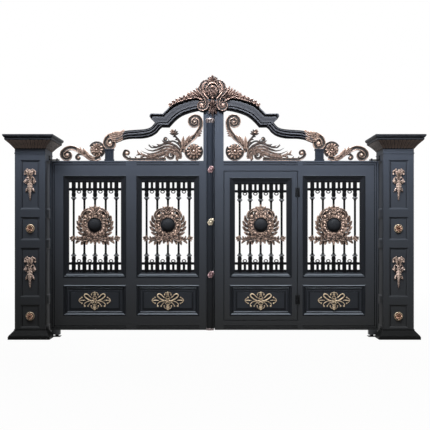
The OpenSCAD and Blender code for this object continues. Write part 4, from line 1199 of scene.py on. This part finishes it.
def node_of(body, kind):
    """The frame's node of a kind on a body, named for two where the body has two bays."""
    ending = "" if len(BAYS[body]) == 1 else "es" if kind.endswith("s") else "s"
    return "%s_%s%s" % (body, kind, ending)


def bays_of(body, kind):
    """The low and high corner of each bay's part; the left leaf's are as wide as the right's."""
    low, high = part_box(node_of(body, kind))
    if len(BAYS[body]) == 1:
        return [(low, high)]
    near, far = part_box("right_leaf_" + kind)
    width = far.x - near.x
    return [(low, Vector((low.x + width, high.y, high.z))),
            (Vector((high.x - width, low.y, low.z)), high)]


# ---------------------------------------------------------------- window balusters

def turned_end(height):
    """Half of a turned vase between a cross bar and the slim shaft, with a big and a small bead."""
    ring = [(0.0, -1.0), (0.6, -0.94), (1.0, -0.5), (1.0, 0.5), (0.6, 0.94), (0.0, 1.0)]
    outline = [(0.028, 0.0), (0.028, 0.010), (0.023, 0.016), (0.0265, 0.032),
               (0.0285, 0.052), (0.0270, 0.070), (0.021, 0.083)]
    for up, thick, swell in ((0.099, 0.014, 0.017), (0.121, 0.006, 0.003)):
        outline += [(0.018 + swell * share, up + thick * rise) for share, rise in ring]
    return [(radius, up * height / 0.13) for radius, up in [*outline, (BALUSTER_R, 0.13)]]


def window_grille(left, right, foot, head):
    """Five turned balusters between cross bars, with stubs and teardrop loops between."""
    low, high = foot + 0.113, head - 0.112
    half_bar, bar_deep, half_stub, stub_deep = 0.017, 0.010, 0.017, 0.009
    thick, plain_level = 0.028, 0.20
    made = [block((left, MID_Y - bar_deep, z - half), (right, MID_Y + bar_deep, z + half))
            for z, half in ((foot + 0.015, 0.015), (low, half_bar), (high, half_bar),
                            (head - 0.010, 0.010))]
    lower = [(radius, low + half_bar + up) for radius, up in turned_end(0.120)]
    upper = [(radius, high - half_bar - up) for radius, up in reversed(turned_end(0.130))]
    baluster = turned([(0.0, foot), (thick, foot), (thick, low - half_bar), *lower, *upper,
                       (thick, high + half_bar), (thick, head), (0.0, head)], 20)
    loop = flow([(0, 0.0), (-0.014, 0.003), (-0.026, 0.014), (-0.017, 0.028), (0, 0.035),
                 (0.017, 0.028), (0.026, 0.014), (0.014, 0.003), (0, 0.0)], 3)
    teardrop = scroll(loop, (0.013,), "strand")
    # Painted highlight on the baluster's beads; the rest of it stays black.
    reach = np.hypot(*points_of(baluster)[:, :2].T)
    beads = np.clip((reach - 0.029) / 0.004, 0, 1)
    mark(baluster, plain_level + (1 - plain_level) * beads)
    mark(teardrop, plain_level)
    axes = np.linspace(left + GRILLE_MARGIN, right - GRILLE_MARGIN, 5)
    for across in axes:
        made.append(copied(baluster, across, MID_Y))
    for across in (axes[:-1] + axes[1:]) / 2:
        made += [block((across - half_stub, MID_Y - stub_deep, z0),
                       (across + half_stub, MID_Y + stub_deep, z1))
                 for z0, z1 in ((foot, low), (high, head))]
        made.append(stood(copied(teardrop), across, MID_Y, low + half_bar))
        made.append(stood(flipped(teardrop, "y"), across, MID_Y, high - half_bar))
    scrap(baluster, teardrop)
    return made


def dress_grilles():
    """The grille of each window, as wide and tall as the frame's."""
    bar_level = 0.30
    for body in BAYS:
        made = [piece for low, high in bays_of(body, "grille")
                for piece in window_grille(low.x, high.x, low.z, high.z)]
        for piece in made:
            if "rub" not in piece.data.attributes:
                mark(piece, bar_level)
        node = node_of(body, "grille")
        finished(made, node + "_turned", body, "dark_anthracite", [node], 40, "turned_black")


# ---------------------------------------------------------------- window and panel mouldings
# A profile is (distance in from the edge, distance out from the leaf's middle) points.

WINDOW_PROFILE = [(0.0, 0.034), (0.002, 0.036), (0.014, 0.036), (0.019, 0.029), (0.027, 0.029),
                  (0.044, 0.0205), (0.062, 0.014), (0.071, 0.014)]
PANEL_PROFILE = [(0.0, 0.029), (0.012, 0.036), (0.015, 0.036), (0.019, 0.029), (0.024, 0.027),
                 (0.034, 0.017), (0.044, 0.023), (0.048, 0.023), (0.056, 0.014),
                 (0.077, 0.014), (0.077, 0.016), (0.103, 0.022)]


def mitred_frame(low, high, profile):
    """A moulding round a rectangle in four mitred lengths, the same in front and behind."""
    section = [*profile, *((inward, -out) for inward, out in reversed(profile))]
    corners = [Vector((low.x, low.z)), Vector((high.x, low.z)), Vector((high.x, high.z)),
               Vector((low.x, high.z))]
    made = []
    for start, end in zip(corners, corners[1:] + corners[:1]):
        piece = bar(section, 1)
        share, inward, out = points_of(piece).T
        run = (end - start).normalized()
        along = inward + share * ((end - start).length - 2 * inward)
        set_points(piece, start.x + run.x * along - run.y * inward, MID_Y - out,
                   start.y + run.y * along + run.x * inward)
        made.append(merge_and_turn_out(piece))
    return made


def mark_slopes(piece, upright):
    """Slopes that face up get a painted highlight, upright faces a little of it, and the others
    stay dark as painted shade.
    """
    _, out, up = rows_of(piece.data.polygons, "normal").T
    rub = np.clip((up - 0.25) / 0.22, 0, 1)
    mark(piece, np.where(np.abs(out) > 0.98, upright, rub), "FACE")


def dress_mouldings():
    """The mouldings round the windows and the lower panels, and the panels' raised fields."""
    margin, proud = 0.102, 0.022
    for kind, profile, upright in (("moulding", WINDOW_PROFILE, 0.0),
                                   ("panel", PANEL_PROFILE, 0.41)):
        for body in BAYS:
            made = []
            for low, high in bays_of(body, kind):
                made += mitred_frame(low, high, profile)
                if kind == "panel":
                    made.append(block((low.x + margin, MID_Y - proud, low.z + margin),
                                      (high.x - margin, MID_Y + proud, high.z - margin), 0.0003))
            piece = joined(made)
            # Painted highlight on the slopes that face up, painted shade on the others.
            mark_slopes(piece, upright)
            node = node_of(body, kind)
            finished([piece], node + "_mitred", body, "dark_anthracite", [node], 25,
                     "mitred_black")


# ---------------------------------------------------------------- seals and the wicket's stop

def seal_the_gaps():
    """Two soft lips that close the meeting gap, and the stop strip behind the wicket."""
    for (side, name), near in zip(SIDES, (0.022, 0.0305)):
        seal = block((GATE_X + side * 0.0042, near, LEAF_FOOT + 0.02),
                     (GATE_X - side * 0.001, near + 0.0075, STILE_TOP + 0.25), 0.001)
        finished([seal], name + "_meeting_seal", name + "_leaf", "dark_anthracite",
                 finish="rubber_black")
    low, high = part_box("wicket_stiles")
    lap, gap, wide, far = 0.006, 0.008, 0.012, LEAF_BACK + 0.005
    out = gap + wide
    x0, x1, z0, z1 = low.x - out, high.x + out, low.z - out, high.z + out
    strips = []
    for near, inner in ((LEAF_BACK + 0.001, lap), (LEAF_BACK, -gap)):
        for start, end in (((x0, z0), (low.x + inner, z1)), ((high.x - inner, z0), (x1, z1)),
                           ((x0, z0), (x1, low.z + inner)), ((x0, high.z - inner), (x1, z1))):
            strips.append(block((start[0], near, start[1]), (end[0], far, end[1]), 0.0005))
    finished(strips, "wicket_stop_strip", "right_leaf", "dark_anthracite", finish="rubber_black")


def plate_the_hinges():
    """Screwed plates beside the wicket's hinge barrels, one on the wicket and one on the leaf."""
    (near_x, _, _), (_, _, top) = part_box("wicket_hinges")
    axis, barrel, proud, margin = near_x + 0.024, 0.112, 0.0035, 0.006
    feet = (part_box("hinge_pins")[0].z, top - barrel)
    screw = turned([(0.0, 0.0), (0.0055, 0.0), (0.0055, 0.0012), (0.004, 0.0024),
                    (0.0, 0.0028)], 12)
    for side, body in ((-1, "wicket"), (1, "right_leaf")):
        made = []
        for foot in feet:
            made.append(block((axis + side * 0.014, -proud, foot - margin),
                              (axis + side * 0.031, 0.0005, foot + barrel + margin), 0.001))
            made += [stood(copied(screw), axis + side * 0.023, -proud, foot + share * barrel)
                     for share in (0.06, 0.5, 0.94)]
        finished(made, body + "_hinge_plates", body, "dark_anthracite", finish="foot_black")
    scrap(screw)


def shade_the_grooves():
    """Dark inlays on the floors of each leaf's two edge grooves, in front and behind."""
    insets, wide, thick = (0.022, 0.049), 0.009, 0.0015
    for name, outer in (("left", 0), ("right", 1)):
        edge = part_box(name + "_leaf_stiles")[outer].x
        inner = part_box(name + "_leaf_rails")[1 - outer].x
        inward = 1 - 2 * outer
        inlays = []
        for inset in insets:
            start = edge + inward * inset
            low, high = LEAF_FOOT + inset, LEAF_TOP - inset
            for near in (LEAF_FRONT + 0.003, LEAF_BACK - 0.0045):
                for end, z0, z1 in ((start + inward * wide, low, high),
                                    (inner, high - wide, high), (inner, low, low + wide)):
                    inlays.append(block((start, near, z0), (end, near + thick, z1), 0.0002))
        finished(inlays, name + "_groove_shade", name + "_leaf", "dark_anthracite",
                 finish="rubber_black")


# ---------------------------------------------------------------- castings set in their places

def dress_bays(*castings):
    """Castings over each bay's middle, in front and behind.

    Each is (kind of the frame's node, casting, size, seat, height, slot, finish)."""
    for body, bays in BAYS.items():
        for kind, casting, size, seat, height, slot, finish in castings:
            node = node_of(body, kind)
            made = [stood(copied(casting, size=size), GATE_X + bay, seat, height, back=back)
                    for bay in bays for back in (False, True)]
            finished(made, node + "_cast", body, slot, [node], finish=finish)
    scrap(*(casting for _, casting, *_ in castings))


def dress_windows():
    """Each window's wreath and the dark dome in its middle."""
    dress_bays(("wreath", cast(wreath(), 0.030), 1.0, WREATH_SEAT, WREATH_Z, "antique_bronze",
                "wreath_bronze"),
               ("boss", cast([boss()]), 1.0, WREATH_SEAT, WREATH_Z, "dark_anthracite", None))


def dress_panels():
    """Each lower panel's cartouche."""
    dress_bays(("cartouche", cast(cartouche(), 0.017), 0.96, CARTOUCHE_SEAT, CARTOUCHE_Z,
                "old_gold", None))


def dress_pediments():
    """Each leaf's cast scrolls and moulded arches."""
    for side, name in SIDES:
        body = name + "_leaf"
        place = (GATE_X, MID_Y, LEAF_TOP, side)
        for make in (outer_scroll, inner_scroll, arch_volute):
            node = name + "_" + make.__name__
            made = stood(cast(make(), 0.030), *place)
            finished([made], node + "_cast", body, "antique_bronze", [node])
        runs = [stood(run, *place) for run in (high_arch(ARCH_STARTS[name]), low_arch())]
        for run in runs:
            mark_grooves(run)
        finished(runs, name + "_arch_moulded", body, "anthracite", [name + "_arch"], 35,
                 "moulded_anthracite")


def dress_crown():
    """The crown in two halves that part at the meeting line, each with its plumes."""
    relief, core, feathers = cast(crown_relief(), 0.050), cast(crown_core()), cast(plume(), 0.030)
    middle, parting = (GATE_X + CROWN_SHIFT, CROWN_SEAT, STILE_TOP), 0.002
    for side, name in SIDES:
        made = [stood(copied(core), *middle)]
        for back in (False, True):
            made.append(stood(copied(relief), *middle, back=back))
            made.append(stood(copied(feathers), GATE_X, CROWN_SEAT, LEAF_TOP, side, back))
        half = edit_points(joined(made))
        bpy.ops.mesh.bisect(plane_co=(GATE_X + side * parting, 0, 0), plane_no=(-side, 0, 0),
                            use_fill=True, clear_outer=True)
        leave_edit()
        finished([half], name + "_crown_cast", name + "_leaf", "antique_bronze",
                 [name + "_crown"], finish="crown_bronze")
    scrap(relief, core, feathers)


def dress_column():
    """The meeting column's capital, foot and three buds."""
    bud, capital, foot = cast(column_bud()), cast(column_capital()), cast([column_foot()])
    for name, casts, nodes, finish in (
            ("column_middle_bud_cast", ((bud, 1.540),), (), "pale_gold"),
            ("column_buds_cast", ((bud, 0.838), (bud, 2.240)), (), "bud_bronze"),
            ("column_ornaments_cast", ((capital, 2.865), (foot, 0.091)), ["column_ornaments"],
             "column_bronze")):
        made = [copied(part, COLUMN_X, COLUMN_Y, up) for part, up in casts]
        finished(made, name, "left_leaf", "antique_bronze", nodes, finish=finish)
    scrap(bud, capital, foot)


def on_posts(casting, heights):
    """Copies of a flat casting at these heights, on the front and the back of each post."""
    return [stood(copied(casting), post_x, POST_SEAT, up, back=back, middle=POST_Y)
            for post_x in POSTS_X for back in (False, True) for up in heights]


def dress_posts():
    """Husk drops and rosettes on the posts, and the rows of tongues under their caps."""
    husk, rim, tongues = cast(drop(), 0.028), cast([rosette_rim()]), cast(cap_leaves())
    petals = cast(shifted(rosette(0.047, 8), out=0.007))
    finished(on_posts(husk, DROP_HEIGHTS), "post_drops_cast", "posts", "old_gold",
             ["post_drops"], finish="drop_bronze")
    finished(on_posts(rim, ROSETTE_HEIGHTS), "post_rosettes_cast", "posts", "old_gold",
             ["post_rosettes"])
    finished(on_posts(petals, ROSETTE_HEIGHTS), "post_rosette_petals", "posts", "old_gold",
             finish="red_bronze")
    finished([copied(tongues, post_x, POST_Y, CAP_COVE_Z) for post_x in POSTS_X],
             "post_cap_leaves_cast", "posts", "antique_bronze", ["post_cap_leaves"],
             finish="dark_bronze")
    scrap(husk, rim, petals, tongues)


def shade_the_post_panels():
    """Dark inlays beside the long slopes of the posts' sunk panels, in front and behind."""
    floor, half = SLEEVE - SLEEVE_WALL, SLEEVE - PANEL_MARGIN - PANEL_SLOPE
    wide, thick = 0.007, 0.0015
    inlays = []
    for post_x in POSTS_X:
        for near in (POST_Y - floor - 0.001, POST_Y + floor - 0.0005):
            for z0, z1 in POST_PANELS:
                for side in (-1, 1):
                    inlays.append(block((post_x + side * half, near, z0 + PANEL_SLOPE),
                                        (post_x + side * (half - wide), near + thick,
                                         z1 - PANEL_SLOPE), 0.0002))
    finished(inlays, "post_panel_shade", "posts", "dark_anthracite", finish="rubber_black")


# ---------------------------------------------------------------- the frame's own finishes

def paint_the_frame():
    """Every CAD part takes its slot's finish, but the posts' feet, the brackets and the wicket's
    hinges are blacker, the sunk panels are as light as the posts, and the column and the
    short posts are darker."""
    for part in frame["record"]["subparts"]:
        finish = part["material_slot"]
        if any(word in part["node"] for word in ("post_base", "hinge", "brackets")):
            finish = "foot_black"
        elif "post_panels" in part["node"]:
            finish = "anthracite"
        elif part["node"] == "meeting_column" or "short_post" in part["node"]:
            finish = "column_coat"
        for slot in frame["nodes"][part["node"]].material_slots:
            slot.material = FINISHES[finish]


# ---------------------------------------------------------------- the work in its order

stand_camera()
lay_floor()
light_studio()
white_surroundings()

FINISHES = mix_finishes()
STOCK = cut_stock()
paint_the_frame()
dress_grilles()
dress_mouldings()
seal_the_gaps()
plate_the_hinges()
shade_the_grooves()
dress_windows()
dress_panels()
dress_pediments()
dress_crown()
dress_column()
dress_posts()
shade_the_post_panels()
scrap(*STOCK.values())

bpy.context.scene.view_settings.view_transform = "Standard"
